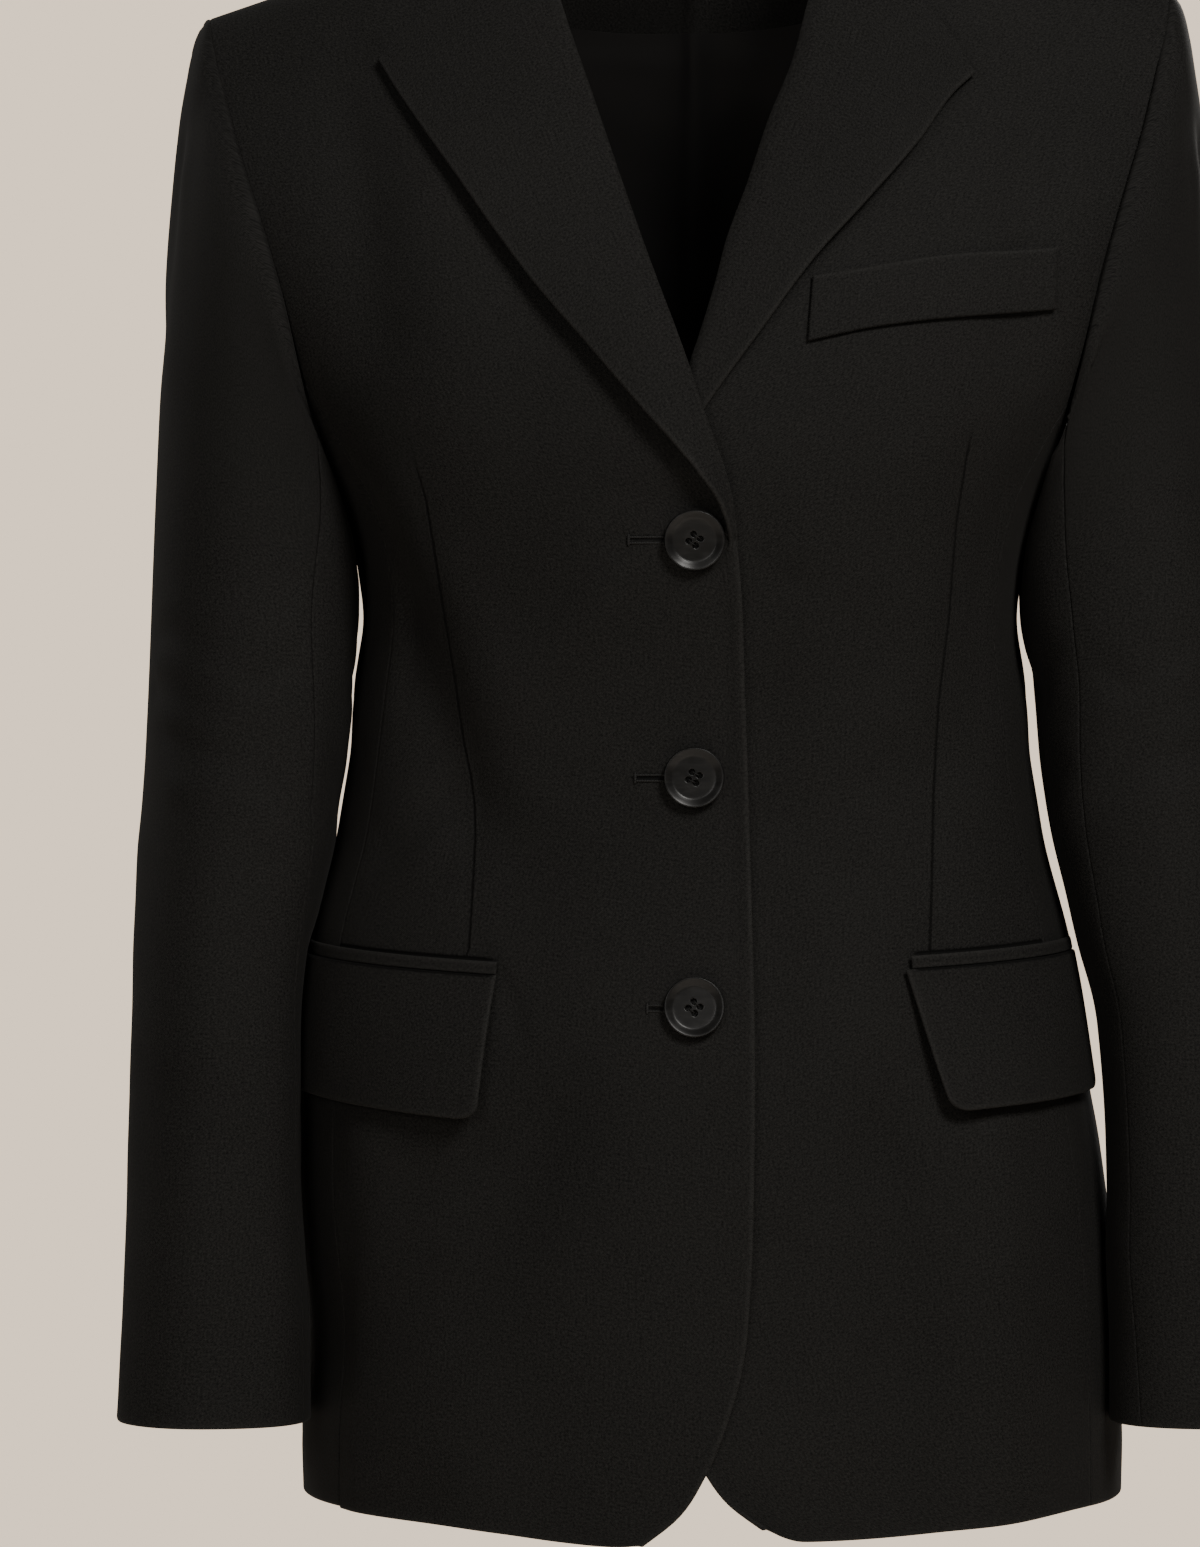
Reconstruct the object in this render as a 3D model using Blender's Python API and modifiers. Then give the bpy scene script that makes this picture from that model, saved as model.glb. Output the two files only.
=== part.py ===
"""Single breasted blazer, hollow and in its worn shape, as separate cloth walls.

The frame: the origin is the centre of the neck opening at the height of the shoulder seams'
neck ends. The front faces -Y, the wearer's right is -X, and +Z is up. Sizes are in millimetres
until a mesh is written, in metres.

The body is one form of level rings. A ring's level is its height at the neck, and its outer
parts drop with the shoulder slope towards the top. A turn round a ring is an angle: 0 at the
centre front, 90 at the +X side, -90 at the -X side and 180 at the centre back. Each panel of
the body is a stretch of that form between two seams, and what lies on a panel is made from the
same form, moved out.
"""

import math

import bmesh
import bpy
import numpy as np
from mathutils import Vector

METRES = 0.001

CLOTH = 1.6  # wall of one worsted layer with its interfacing
LAPEL = 2.2  # front and facing pressed together
COLLAR_CLOTH = 2.0
SEAM = 0.35  # space between two pieces at a seam
SQUARE = 2.4  # exponent of the body's rings, 2 is an ellipse
MIDDLE = 4.0  # y of the ring's widest place and of the shoulder seam
RIDGE = 30.0  # height of the rounding on top of the shoulder
NECK_X = 77.0  # neck end of the shoulder seam
SHOULDER_X = 213.0  # sleeve end of the shoulder seam
SLOPE = 0.319  # fall of the shoulder for each millimetre outwards
SLOPE_ROUND = 40.0  # half width of the rounding between the two slopes
LEAN = 0.028  # the wearer's left shoulder is higher by this share of x
TILT_FROM = -190.0  # rings below this level are level all over
HEM = -700.0
WAIST = -300.0
NECK_DIP = 26.0  # the neck seam's level at the centre back, below the shoulder seam
SIDE_FRONT_TURN = 62.5  # seam of the front and the side panel
SIDE_BACK_TURN = 118.0  # seam of the side panel and the back
FOLD_TAPER = 1.6  # a fold fades past its ends over this many of its half widths
FOLDS_END = 60.0  # folds fade out over this much level below the shoulder
RISE_ROUNDS = 14  # rounds that settle a level for a height on the sloping shoulder

# Rows and columns of the panels' grids.
SKIRT_ROWS = 13
FLARE_ROWS = 6
CHEST_ROWS = 8
OVER_ANGLES = (60.0, 32.0, 0.6)  # rows over the shoulder's rounding, 0 at its top
FRONT_COLUMNS = 12
SIDE_COLUMNS = 6
SHOULDER_COLUMNS = 4
NECK_COLUMNS = 5

# The lapping front lies outside the one below it, and its lapel outside the other lapel.
LAP_LIFT = 2.4
LAP_FROM_X, LAP_FULL_X = -78.0, -36.0
LAP_FROM_Z, LAP_FULL_Z = -150.0, -190.0
LAPEL_LIFT = 2.9
LAPEL_FROM_X, LAPEL_FULL_X = -46.0, -10.0
LAPEL_FROM_Z, LAPEL_FULL_Z = -172.0, -198.0
LAPEL_ENDS_Z, LAPEL_BREAK_Z = -250.0, -270.0

# The body's rings: level, half width, shift of the middle, depth to the front and to the back.
BODY = np.array([
    (-725.0, 180.0, 10.0, 126.0, 131.0),
    (-660.0, 180.0, 9.5, 125.0, 131.0),
    (-610.0, 179.0, 8.5, 124.0, 130.0),
    (-560.0, 177.5, 5.0, 122.0, 127.0),
    (-520.0, 174.5, 2.0, 118.5, 121.0),
    (-460.0, 170.0, 0.0, 112.0, 108.0),
    (-405.0, 156.0, 0.0, 107.0, 96.0),
    (-345.0, 149.5, 0.0, 110.0, 95.0),
    (-300.0, 147.5, 0.0, 118.5, 103.0),
    (-262.0, 156.0, 0.0, 124.5, 111.0),
    (-240.0, 168.0, 0.0, 126.0, 113.5),
    (-215.0, 184.0, 0.0, 124.0, 115.0),
    (-190.0, 198.0, 0.0, 119.0, 114.0),
    (-150.0, 217.0, 0.0, 105.0, 107.0),
    (-100.0, 238.0, 0.0, 82.0, 90.0),
    (-60.0, 246.0, 0.0, 59.0, 68.0),
    (-30.0, 250.0, 0.0, 41.0, 50.0),
    (0.0, 251.0, 0.0, 32.0, 40.0),
])

# Soft folds of the body: x and z of both ends, half width, depth (below 0 is a trough).
FOLDS = np.array([
    (-142.0, -292.0, -97.0, -395.0, 20.0, -3.5),
    (150.0, -300.0, 104.0, -385.0, 20.0, -2.5),
    (-150.0, -110.0, -138.0, -178.0, 20.0, -3.0),
    (148.0, -120.0, 138.0, -190.0, 20.0, -2.0),
    (133.0, -545.0, 128.0, -690.0, 26.0, 4.0),
    (76.0, -555.0, 72.0, -680.0, 22.0, -3.5),
    (-70.0, -545.0, -150.0, -625.0, 26.0, -3.5),
    (-120.0, -600.0, -110.0, -700.0, 26.0, 2.5),
    (-34.0, -300.0, -70.0, -345.0, 16.0, 1.5),
])

# The lapping front's edge below the lapel: x and z, top to bottom, then the rounded corner.
EDGE_RIGHT = np.array([
    (13.8, -266.0), (17.9, -286.0), (20.0, -309.0), (21.3, -342.0), (22.6, -377.0),
    (24.4, -440.0), (25.5, -505.0), (25.1, -553.0), (23.6, -600.0), (20.0, -635.0),
    (14.5, -655.0), (4.8, -679.0), (-8.0, -698.0), (-22.0, -709.0),
])
# The fronts' hem: lowest near the centre, rising to the sides in two steps.
HEM_LOWEST = -713.5
HEM_MIDDLE_X = 3.0
HEM_RISES = ((32.0, 107.0, 10.5), (110.0, 200.0, 5.0))  # from and to x off the middle, and rise
HEM_ROWS_SHARE = 0.1  # the rows that bend to follow the hem, as a share of the front's height
HEM_CORNER_SHARE = 0.12  # and the corner's share of its width
# The lower front's edge, hidden down to its corner, where it swings open.
EDGE_LEFT = np.array([
    (-14.0, -266.0), (-18.0, -290.0), (-21.0, -342.0), (-24.0, -440.0), (-24.0, -520.0),
    (-20.0, -580.0), (-14.0, -620.0), (-6.0, -655.0), (4.8, -679.0), (14.0, -691.0),
    (29.0, -702.0),
])
# Roll lines of the lapels, x and z, from the break up to the end of the gorge.
ROLL_RIGHT = np.array([
    (13.8, -266.0), (7.6, -249.0), (0.4, -230.0), (-5.6, -212.0), (-15.6, -184.0),
    (-26.5, -153.0), (-34.6, -127.0), (-44.5, -95.5), (-54.5, -72.0), (-61.0, -47.5),
    (-65.5, -27.0),
])
ROLL_LEFT = np.array([
    (-14.0, -266.0), (-8.0, -240.0), (0.5, -212.0), (5.6, -197.0), (12.6, -174.0),
    (17.6, -155.0), (26.2, -131.5), (36.3, -101.0), (46.3, -76.0), (54.0, -47.5),
    (60.5, -24.0),
])
# Outer edges of the lapels, x and z, from the break to the tip.
BRIM_RIGHT = np.array([
    (12.0, -268.0), (2.0, -253.5), (-19.0, -228.0), (-40.0, -200.0), (-65.5, -174.0),
    (-83.0, -152.0), (-98.0, -133.0), (-113.0, -113.0), (-126.0, -92.0), (-135.0, -75.0),
])
BRIM_LEFT = np.array([
    (-4.0, -241.0), (5.0, -227.0), (30.0, -193.0), (51.0, -165.0), (75.0, -138.0),
    (96.0, -113.0), (113.0, -89.0), (122.0, -80.0),
])
# The notch and the collar's leaf, x and z.
NOTCH_RIGHT = (-99.0, -46.0)
NOTCH_LEFT = (90.0, -49.0)
LEAF_RIGHT = (-123.0, -29.0)
LEAF_LEFT = (116.0, -30.0)

# The armhole, from the shoulder down the front, under the arm and up the back:
# turn round the hole, x, z.
ARMHOLE_FRONT = np.array([
    (0.0, 213.0, -41.5), (20.0, 210.5, -56.0), (45.0, 205.0, -80.0), (70.0, 197.5, -107.0),
    (95.0, 187.0, -138.0), (115.0, 177.5, -168.0), (135.0, 168.5, -202.0),
    (150.0, 161.0, -230.0), (165.0, 157.0, -252.0), (180.0, 154.4, -262.0),
])
ARMHOLE_BACK = np.array([
    (180.0, 154.4, -262.0), (195.0, 159.5, -252.0), (210.0, 168.0, -234.0),
    (230.0, 180.0, -204.0), (255.0, 189.5, -163.0), (280.0, 196.0, -126.0),
    (305.0, 202.5, -93.0), (330.0, 208.5, -66.0), (360.0, 213.0, -41.5),
])

# The hanging arm's rings below the armhole: z, middle x and y, half width, half depth, yaw of
# the ring and how far the wearer's left arm hangs further out.
ARM = np.array([
    (-668.0, 210.5, -42.0, 38.5, 45.0, 8.0, 17.0),
    (-640.0, 211.0, -38.0, 36.5, 46.0, 9.0, 15.0),
    (-581.0, 211.5, -31.0, 34.5, 48.0, 11.0, 10.0),
    (-524.0, 210.5, -24.0, 34.5, 50.5, 12.0, 8.5),
    (-460.0, 208.0, -17.0, 36.0, 53.5, 12.0, 6.0),
    (-379.0, 199.0, -8.0, 41.5, 58.0, 10.0, 3.0),
    (-300.0, 193.0, -3.0, 45.0, 62.5, 6.0, 2.0),
])
ARM_SQUARE = 2.25
CUFF = -664.0
BICEP = -300.0  # above it the sleeve bends over to the armhole
BICEP_SHARE = 0.62  # and this is its share of the sleeve's lines, from the cuff

# Turn of the front seam round the right and the left sleeve, at shares of the sleeve's lines.
SLEEVE_SEAMS = np.array([
    (0.0, 150.0, 124.0), (0.11, 147.0, 125.0), (0.25, 139.0, 124.0), (0.38, 128.0, 120.0),
    (0.5, 119.0, 117.0), (0.62, 114.0, 115.0), (0.74, 121.0, 122.0), (0.88, 138.0, 139.0),
    (1.0, 151.0, 151.0),
])
HIND_SEAM = 250.0
ARM_CLEAR = 3.0
CLEAR_SOFTNESS = 6.0  # rounds the place where the sleeve is pressed flat beside the body
FLAP_CLEAR = 4.5  # more room where a sleeve hangs beside a pocket flap, at these heights
FLAP_LOW, FLAP_HIGH, FLAP_EASE = -545.0, -440.0, 20.0

# Each line of the sleeve head leaves the armhole in a direction made of a middle part and a part
# that turns with the line: outwards, to the front and down.
LEAVE_OUT, LEAVE_FRONT, LEAVE_DOWN = (0.5, 0.42), 0.30, (0.66, -0.34)
HEAD_REACH, HEAD_REACH_FRONT = 12.0, 14.0  # how far it keeps that direction
HEAD_FULL_SPAN = 80.0
ARM_REACH, ARM_REACH_OUT = 0.42, 0.16  # and how far up it keeps the arm's, of the whole span
HEAD_OUT = 0.8  # the head's top starts this far outside the shoulder's end
HEAD_LIFT, UNDER_LIFT = CLOTH + 0.6, 0.36  # elsewhere it lies on the armhole's edge

# Turns of the top sleeve's columns between those at its seams.
TOP_SLEEVE_TURNS = (
    -88.0, -68.0, -50.0, -36.0, -24.0, -12.0, 0.0, 12.0, 24.0, 36.0, 50.0, 66.0, 82.0, 98.0,
)
TOP_SLEEVE_COLUMNS = len(TOP_SLEEVE_TURNS) + 2
UNDER_SLEEVE_COLUMNS = 7
ARM_ROWS = 9
HEAD_ROWS = 11
SLEEVE_SEAM = (0.25, 0.35)  # half the sleeve seams' space, in degrees at the cuff, and more above

# Collar stations from the gorge to the centre back: x of the neck seam and its level on the
# front (the back's follows the neck), height of the stand, its lean inwards, x and level past
# the ridge (below 0 on the front) of the fall's outer edge.
COLLAR = np.array([
    (64.5, -31.0, 0.6, 0.5, 123.0, -13.0),
    (69.0, -18.0, 8.0, 3.0, 121.0, -8.0),
    (74.5, -5.0, 18.0, 6.0, 115.0, -2.0),
    (73.0, 0.0, 25.0, 7.0, 104.0, 10.0),
    (58.0, 0.0, 29.0, 7.0, 79.0, 29.0),
    (31.0, 0.0, 31.0, 6.0, 42.0, 43.0),
    (0.0, 0.0, 31.0, 5.0, 0.0, 48.0),
])

COLLAR_COLUMNS = 32
STAND_IN = COLLAR_CLOTH + 1.1  # the stand lies this far inside the neck edge
FALL_LIFT = CLOTH + 2.2  # height of the fall's edge over the back
FALL_OVER_RIDGE, RIDGE_REACH = 2.5, 22.0  # more where it crosses the shoulder's ridge
LEFT_SEAM_IN = 4.0  # the neck seam on the wearer's left starts further in
# The collar's roll: three points across its top, outwards from the stand's crest and above it.
ROLL_OUT, ROLL_UP = (1.2, 3.0), (1.6, 0.6)
FALL_OUT, FALL_UP = 1.5, 2.5  # how far the fall bellies out half way down

# Pocket strips: levels of the lower edge at the inner and the outer end, the same for the upper
# edge, x of the inner edge at the bottom and at the top, and how far a flap's corner stands off.
POCKETS = {
    "right": (
        (-468.3, -461.0, -462.8, -455.5, 83.0, 83.0, 0.0),
        (-530.5, -520.0, -468.9, -461.5, 90.5, 83.0, 4.2),
    ),
    "left": (
        (-465.8, -459.5, -460.3, -454.0, 91.5, 91.5, 0.0),
        (-528.0, -520.5, -466.5, -460.0, 101.0, 89.0, 5.0),
    ),
}
POCKET_END_TURN = 77.0
JET_CLOTH, FLAP_CLOTH, WELT_CLOTH = 1.2, 2.0, 1.8
STRIP_LIFT = 0.8  # space between a strip and the front
FLAP_OFF = 1.2  # how far a flap's lower edge hangs off the front
CORNER_RISE, CORNER_SHARE = 5.0, 0.05  # the rounding of a flap's corner
CORNER_OFF_SHARE = 0.6
# The breast welt: x, and z of its lower and its upper edge.
BREAST_WELT = np.array([
    (48.0, -199.0, -171.5), (74.0, -193.0, -167.0), (98.0, -189.2, -162.5),
    (115.0, -187.0, -160.0), (140.0, -184.0, -157.3), (156.0, -182.0, -155.5),
])
WELT_ENDS = np.array([(48.0, 155.0), (50.5, 156.0)])  # x of both ends, at the bottom and the top

# A button's profile from the middle of its face over the rim to the middle of its back: share of
# its radius and height.
BUTTON_WIDTH = 26.0
BUTTON_LEVELS = (-282.0, -383.5, -482.0)
BUTTON_PROFILE = (
    (0.0, 2.3), (0.5, 2.5), (0.69, 3.0), (0.77, 3.9), (0.877, 4.2),
    (0.969, 3.6), (1.0, 2.4), (0.938, 1.2), (0.73, 0.5), (0.0, 0.0),
)
BUTTON_SIDES = 24
HOLE_RADIUS = 1.0
HOLE_OFF = 2.7  # from the button's middle to a hole's
HOLE_LENGTH = 12.0
BUTTON_GAP = 0.4  # space between a button and the front

WOOL = (0.0085, 0.0078, 0.0070)
HORN = (0.010, 0.009, 0.009)


def smooth(at, knots, values):
    """A cubic curve through the table's points, its slope there that of the neighbours."""
    knots, values = np.asarray(knots, float), np.asarray(values, float)
    if knots[0] > knots[-1]:
        knots, values = knots[::-1], values[::-1]
    slope = np.gradient(values, knots)
    at = np.clip(np.asarray(at, float), knots[0], knots[-1])
    i = np.clip(np.searchsorted(knots, at, side="right") - 1, 0, len(knots) - 2)
    step = knots[i + 1] - knots[i]
    t = (at - knots[i]) / step
    ends = (1 + 2 * t) * (1 - t) ** 2 * values[i] + t * t * (3 - 2 * t) * values[i + 1]
    return ends + step * t * (1 - t) * ((1 - t) * slope[i] - t * slope[i + 1])


def ease(t):
    t = np.clip(t, 0.0, 1.0)
    return t * t * (3.0 - 2.0 * t)


def power(value, exponent):
    """The exponent of a signed number's size, with its sign kept."""
    return np.sign(value) * np.abs(value) ** exponent


# The body's form

def tilt(level):
    """How far a ring takes part in the shoulder slope, 0 at the chest and 1 on top."""
    return ease((level - TILT_FROM) / -TILT_FROM)


def ring_drop(x):
    """How far the shoulder line lies below the neck end at x, rounded at the middle."""
    return SLOPE * (np.hypot(x, SLOPE_ROUND) - math.hypot(NECK_X, SLOPE_ROUND)) - LEAN * x


def folds(x, z):
    """Height of the soft folds at a place of the front: bumps along straight lines."""
    height = np.zeros(np.broadcast(x, z).shape)
    for x0, z0, x1, z1, width, depth in FOLDS:
        along = np.array((x1 - x0, z1 - z0))
        length = np.linalg.norm(along)
        along /= length
        run = (x - x0) * along[0] + (z - z0) * along[1]
        off = -(x - x0) * along[1] + (z - z0) * along[0]
        past = np.maximum(np.maximum(-run, run - length), 0.0)
        height += depth * np.exp(-((off / width) ** 2) - (past / (FOLD_TAPER * width)) ** 2)
    return height


def bare(turn, level):
    """The form itself: x, y and z at a turn in degrees and a level."""
    half, shift, front, back = (smooth(level, BODY[:, 0], BODY[:, k]) for k in (1, 2, 3, 4))
    sine, cosine = np.sin(np.radians(turn)), np.cos(np.radians(turn))
    closing = np.sqrt(np.clip(1.0 - (1.0 - np.clip(-level / RIDGE, 0.0, 1.0)) ** 2, 0.0, 1.0))
    x = (half - CLOTH) * power(sine, 2.0 / SQUARE) + shift
    depth = (np.where(cosine > 0.0, front, back) - CLOTH) * closing
    y = MIDDLE - depth * power(cosine, 2.0 / SQUARE)
    return np.stack(np.broadcast_arrays(x, y, level - tilt(level) * ring_drop(x)), axis=-1)


def outward(turn, level):
    """The form's unit normal, from the steps to its neighbours."""
    level = np.minimum(level, -0.3)
    round_it = bare(turn + 0.6, level) - bare(turn - 0.6, level)
    up_it = bare(turn, np.minimum(level + 1.0, -0.02)) - bare(turn, level - 1.0)
    normal = np.cross(round_it, up_it)
    return normal / np.linalg.norm(normal, axis=-1, keepdims=True)


def on_body(turn, level, lift=0.0):
    """A point of the dressed form, lifted along its normal."""
    turn, level = np.broadcast_arrays(np.asarray(turn, float), np.asarray(level, float))
    point = bare(turn, level)
    fold = folds(point[..., 0], point[..., 2]) * (np.abs(turn) < 90.0) * ease(-level / FOLDS_END)
    return point + outward(turn, level) * (fold + lift)[..., None]


def place(x, z, behind=False):
    """The turn and level of the form's point that is seen at x and z from the front."""
    x, z = np.asarray(x, float), np.asarray(z, float)
    level = z + 0.0
    for _ in range(RISE_ROUNDS):
        level = np.clip(z + tilt(level) * ring_drop(x), None, -0.003)
    half, shift = (smooth(level, BODY[:, 0], BODY[:, k]) for k in (1, 2))
    share = np.clip((x - shift) / (half - CLOTH), -1.0, 1.0)
    turn = np.degrees(np.arcsin(power(share, SQUARE / 2.0)))
    if behind:
        turn = np.where(turn < 0.0, -180.0, 180.0) - turn
    return turn, level


def lapping(x, z):
    """Lift of the lapping front over the pieces below it: one front, and the other lapel."""
    over_front = ease((x - LAP_FROM_X) / (LAP_FULL_X - LAP_FROM_X))
    over_front = over_front * ease((z - LAP_FROM_Z) / (LAP_FULL_Z - LAP_FROM_Z))
    over_lapel = ease((x - LAPEL_FROM_X) / (LAPEL_FULL_X - LAPEL_FROM_X))
    over_lapel = over_lapel * ease((z - LAPEL_FROM_Z) / (LAPEL_FULL_Z - LAPEL_FROM_Z))
    over_lapel = over_lapel * ease((z - LAPEL_BREAK_Z) / (LAPEL_ENDS_Z - LAPEL_BREAK_Z))
    return LAP_LIFT * over_front + LAPEL_LIFT * over_lapel


# Meshes and objects

def material(name, colour, roughness):
    made = bpy.data.materials.new(name)
    made.use_nodes = True
    shader = made.node_tree.nodes["Principled BSDF"]
    shader.inputs["Base Color"].default_value = (*colour, 1.0)
    shader.inputs["Roughness"].default_value = roughness
    shader.inputs["Metallic"].default_value = 0.0
    made.diffuse_color = (*colour, 1.0)
    return made


def wall(name, point_of, columns, rows, thickness=CLOTH, flip=False):
    """A cloth wall: a grid moved onto point_of(u, v), thickened outwards.

    u runs across and v up, both from 0 to 1, and flip is for a surface whose u runs the other
    way round its outside.
    """
    mesh = bpy.data.meshes.new(name)
    grid = bmesh.new()
    bmesh.ops.create_grid(grid, x_segments=columns, y_segments=rows, size=1.0)
    if flip:
        bmesh.ops.reverse_faces(grid, faces=grid.faces)
    grid.to_mesh(mesh)
    grid.free()
    flat = np.empty(len(mesh.vertices) * 3)
    mesh.vertices.foreach_get("co", flat)
    share = (flat.reshape(-1, 3)[:, :2] + 1.0) / 2.0
    points = point_of(share[:, 0], share[:, 1]) * METRES
    mesh.vertices.foreach_set("co", points.ravel())
    mesh.update()
    made = bpy.data.objects.new(name, mesh)
    GARMENT.objects.link(made)
    made.data.materials.append(WOOL_CLOTH)
    solid = made.modifiers.new("Cloth wall", "SOLIDIFY")
    solid.thickness = thickness * METRES
    solid.offset = 1.0
    mesh.shade_smooth()
    return made


def spaced(knots, share):
    """The value at a share of the way through a list of knots."""
    return np.interp(share, np.linspace(0.0, 1.0, len(knots)), knots)


def row_levels(lowest, corner):
    """Levels of a panel's rows: closer where the side flares and the shoulder rounds over.

    One row is at the corner between the side seam and the armhole.
    """
    low = np.linspace(lowest, WAIST, SKIRT_ROWS + 1)
    flare = np.linspace(WAIST, corner, FLARE_ROWS + 1)[1:]
    chest = np.linspace(corner, -RIDGE, CHEST_ROWS + 1)[1:]
    over = RIDGE * (np.cos(np.radians(OVER_ANGLES)) - 1.0)
    return np.concatenate([low, flare, chest, over])


def seam_corner(side, behind):
    """Level at which a side seam meets the armhole."""
    levels, turns = armhole_edge(side, behind)
    seam = SIDE_BACK_TURN if behind else SIDE_FRONT_TURN
    order = np.argsort(np.abs(turns))
    return float(np.interp(seam, np.abs(turns)[order], levels[order]))


def centre_turn(level, x):
    """Turn, less a half circle, of the back at x from the middle line."""
    half = smooth(level, BODY[:, 0], BODY[:, 1]) - CLOTH
    return np.degrees(np.arcsin((x / half) ** (SQUARE / 2.0)))


def neck_level(x):
    """Level of the neck seam on the back, from the shoulder seam to the centre back."""
    return -NECK_DIP * np.clip(1.0 - (x / NECK_X) ** 2, 0.0, 1.0)


# Body panels

def armhole_edge(side, behind):
    """Level and turn of the armhole's front or back edge, as two arrays from low to high."""
    table = ARMHOLE_BACK if behind else ARMHOLE_FRONT
    steps = np.linspace(table[0, 0], table[-1, 0], 60)
    x = side * smooth(steps, table[:, 0], table[:, 1])
    z = smooth(steps, table[:, 0], table[:, 2]) + LEAN * x
    turn, level = place(x, np.where(np.abs(x) > SHOULDER_X - SEAM, z - SEAM, z), behind)
    order = np.argsort(level)
    return level[order], turn[order]


def side_edge(side, behind, level):
    """Turn of a panel's outer edge: the side seam, and above it the armhole."""
    seam = SIDE_BACK_TURN if behind else SIDE_FRONT_TURN
    levels, turns = armhole_edge(side, behind)
    hole = np.abs(np.interp(level, levels, turns))
    edge = np.where(behind, np.maximum(seam, hole), np.minimum(seam, hole))
    joins = level > levels[0]
    return side * np.where(joins, edge, seam)


def curve_x(table, z):
    """x of an edge drawn from the front, at z."""
    return smooth(z, table[:, 1], table[:, 0])


def front_inner_x(side, z):
    """x of a front's inner edge: the front edge, then the roll line, then the neck."""
    edge, roll = (EDGE_RIGHT, ROLL_RIGHT) if side < 0 else (EDGE_LEFT, ROLL_LEFT)
    below = curve_x(edge, z)
    above = curve_x(roll, z)
    x = np.where(z < edge[0, 1], below, above)
    top = roll[-1]
    neck = top[0] + (side * (NECK_X - 0.4) - top[0]) * (z - top[1]) / -top[1]
    return np.where(z > top[1], neck, x)


def hem_z(x):
    """The fronts' hem, lowest near the centre and rising a little to the sides."""
    away = np.abs(x - HEM_MIDDLE_X)
    return HEM_LOWEST + sum(rise * ease((away - a) / (b - a)) for a, b, rise in HEM_RISES)


def front_point(side):
    """A front's surface: u from its outer edge at -X towards +X, v from the hem upwards."""
    corner = EDGE_RIGHT[-1] if side < 0 else EDGE_LEFT[-1]

    def point(u, v):
        level = spaced(row_levels(corner[1], seam_corner(side, False)), v)
        outer = side_edge(side, False, level)
        z = level.copy()
        for _ in range(RISE_ROUNDS):
            x = front_inner_x(side, z)
            z = level - tilt(level) * ring_drop(x)
        inner, _ = place(x, z)
        across = 1.0 - u if side < 0 else u
        turn = inner + (outer - inner) * across
        spot = bare(turn, level)
        bottom = ease(1.0 - v / HEM_ROWS_SHARE)
        hem = np.where(across > 0.0, hem_z(spot[:, 0]), corner[1])
        level = level + (hem - corner[1]) * bottom * ease(across / HEM_CORNER_SHARE)
        lift = lapping(spot[:, 0], spot[:, 2]) if side < 0 else 0.0
        return on_body(turn, level, lift)

    return point


def side_panel_point(side):
    """A side panel: u round from front to back, v from the hem to the armhole's bottom."""
    space = math.degrees(2.0 * SEAM / 170.0)
    first, last = SIDE_FRONT_TURN + space, SIDE_BACK_TURN - space
    rows = row_levels(HEM, seam_corner(side, False))[: SKIRT_ROWS + FLARE_ROWS + 1]

    def point(u, v):
        across = u if side > 0 else 1.0 - u
        turn = first + (last - first) * across
        front_levels, front_turns = armhole_edge(side, False)
        back_levels, back_turns = armhole_edge(side, True)
        front_top = np.interp(turn, np.abs(front_turns[::-1]), front_levels[::-1])
        back_top = np.interp(turn, np.abs(back_turns), back_levels)
        top = np.where(turn < 90.0, front_top, back_top)
        level = spaced(rows, v)
        above = np.clip((level - WAIST) / (rows[-1] - WAIST), 0.0, 1.0)
        level = level + (top - rows[-1]) * above
        return on_body(side * turn, level)

    return point


def back_point(side):
    """A back: u round from the side seam to the centre back, v from the hem to the shoulder."""
    shoulder_share = SHOULDER_COLUMNS / (SHOULDER_COLUMNS + NECK_COLUMNS)

    def point(u, v):
        across = u if side > 0 else 1.0 - u
        level = spaced(row_levels(HEM, seam_corner(side, True)), v)
        outer = np.abs(side_edge(side, True, level))
        centre = 180.0 - centre_turn(level, SEAM / 2.0)
        neck = 180.0 - centre_turn(level, NECK_X)
        on_shoulder = outer + (neck - outer) * across / shoulder_share
        on_neck = neck + (centre - neck) * (across - shoulder_share) / (1.0 - shoulder_share)
        split = np.where(across < shoulder_share, on_shoulder, on_neck)
        even = outer + (centre - outer) * across
        turn = even + (split - even) * ease((level + 200.0) / 200.0)
        x = np.abs(bare(side * turn, level)[:, 0])
        level = level + neck_level(x) * ease((level + 110.0) / 110.0)
        return on_body(side * turn, level)

    return point


# Lapels and collar

# A section across a lapel: distance from the roll line as a fixed part and as a share of the
# width, and height over the front's inner face at the roll.
BREAK_WIDTH = 24.0  # where a lapel is narrower than this its roll is smaller too
GORGE_SHARE = 0.2  # the top part of a lapel whose rows bend to the gorge
BOWED_FROM, BOWED_OVER, BOWED_TO = 0.1, 0.3, 0.25  # where along a lapel it stands off the chest
STAND_OFF_RIGHT, STAND_OFF_LEFT = 4.5, 2.0
PRESSED = CLOTH + 0.9  # height of a lapel near its break
LAPEL_SECTION = np.array([
    (-1.7, 0.0, 0.0),
    (-1.7, 0.0, 1.2),
    (0.9, 0.0, CLOTH + 0.9),
    (6.0, 0.0, CLOTH + 1.6),
    (0.0, 0.3, CLOTH + 2.2),
    (0.0, 0.55, CLOTH + 2.6),
    (0.0, 0.8, CLOTH + 2.6),
    (0.0, 1.0, CLOTH + 2.0),
])


GORGE_ROWS = (0, 1, 2, 3, 5)  # of them, those that the collar's end follows to the notch
GORGE_GAP = 1.1
LEAF_LIFT = CLOTH + 3.2


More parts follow.
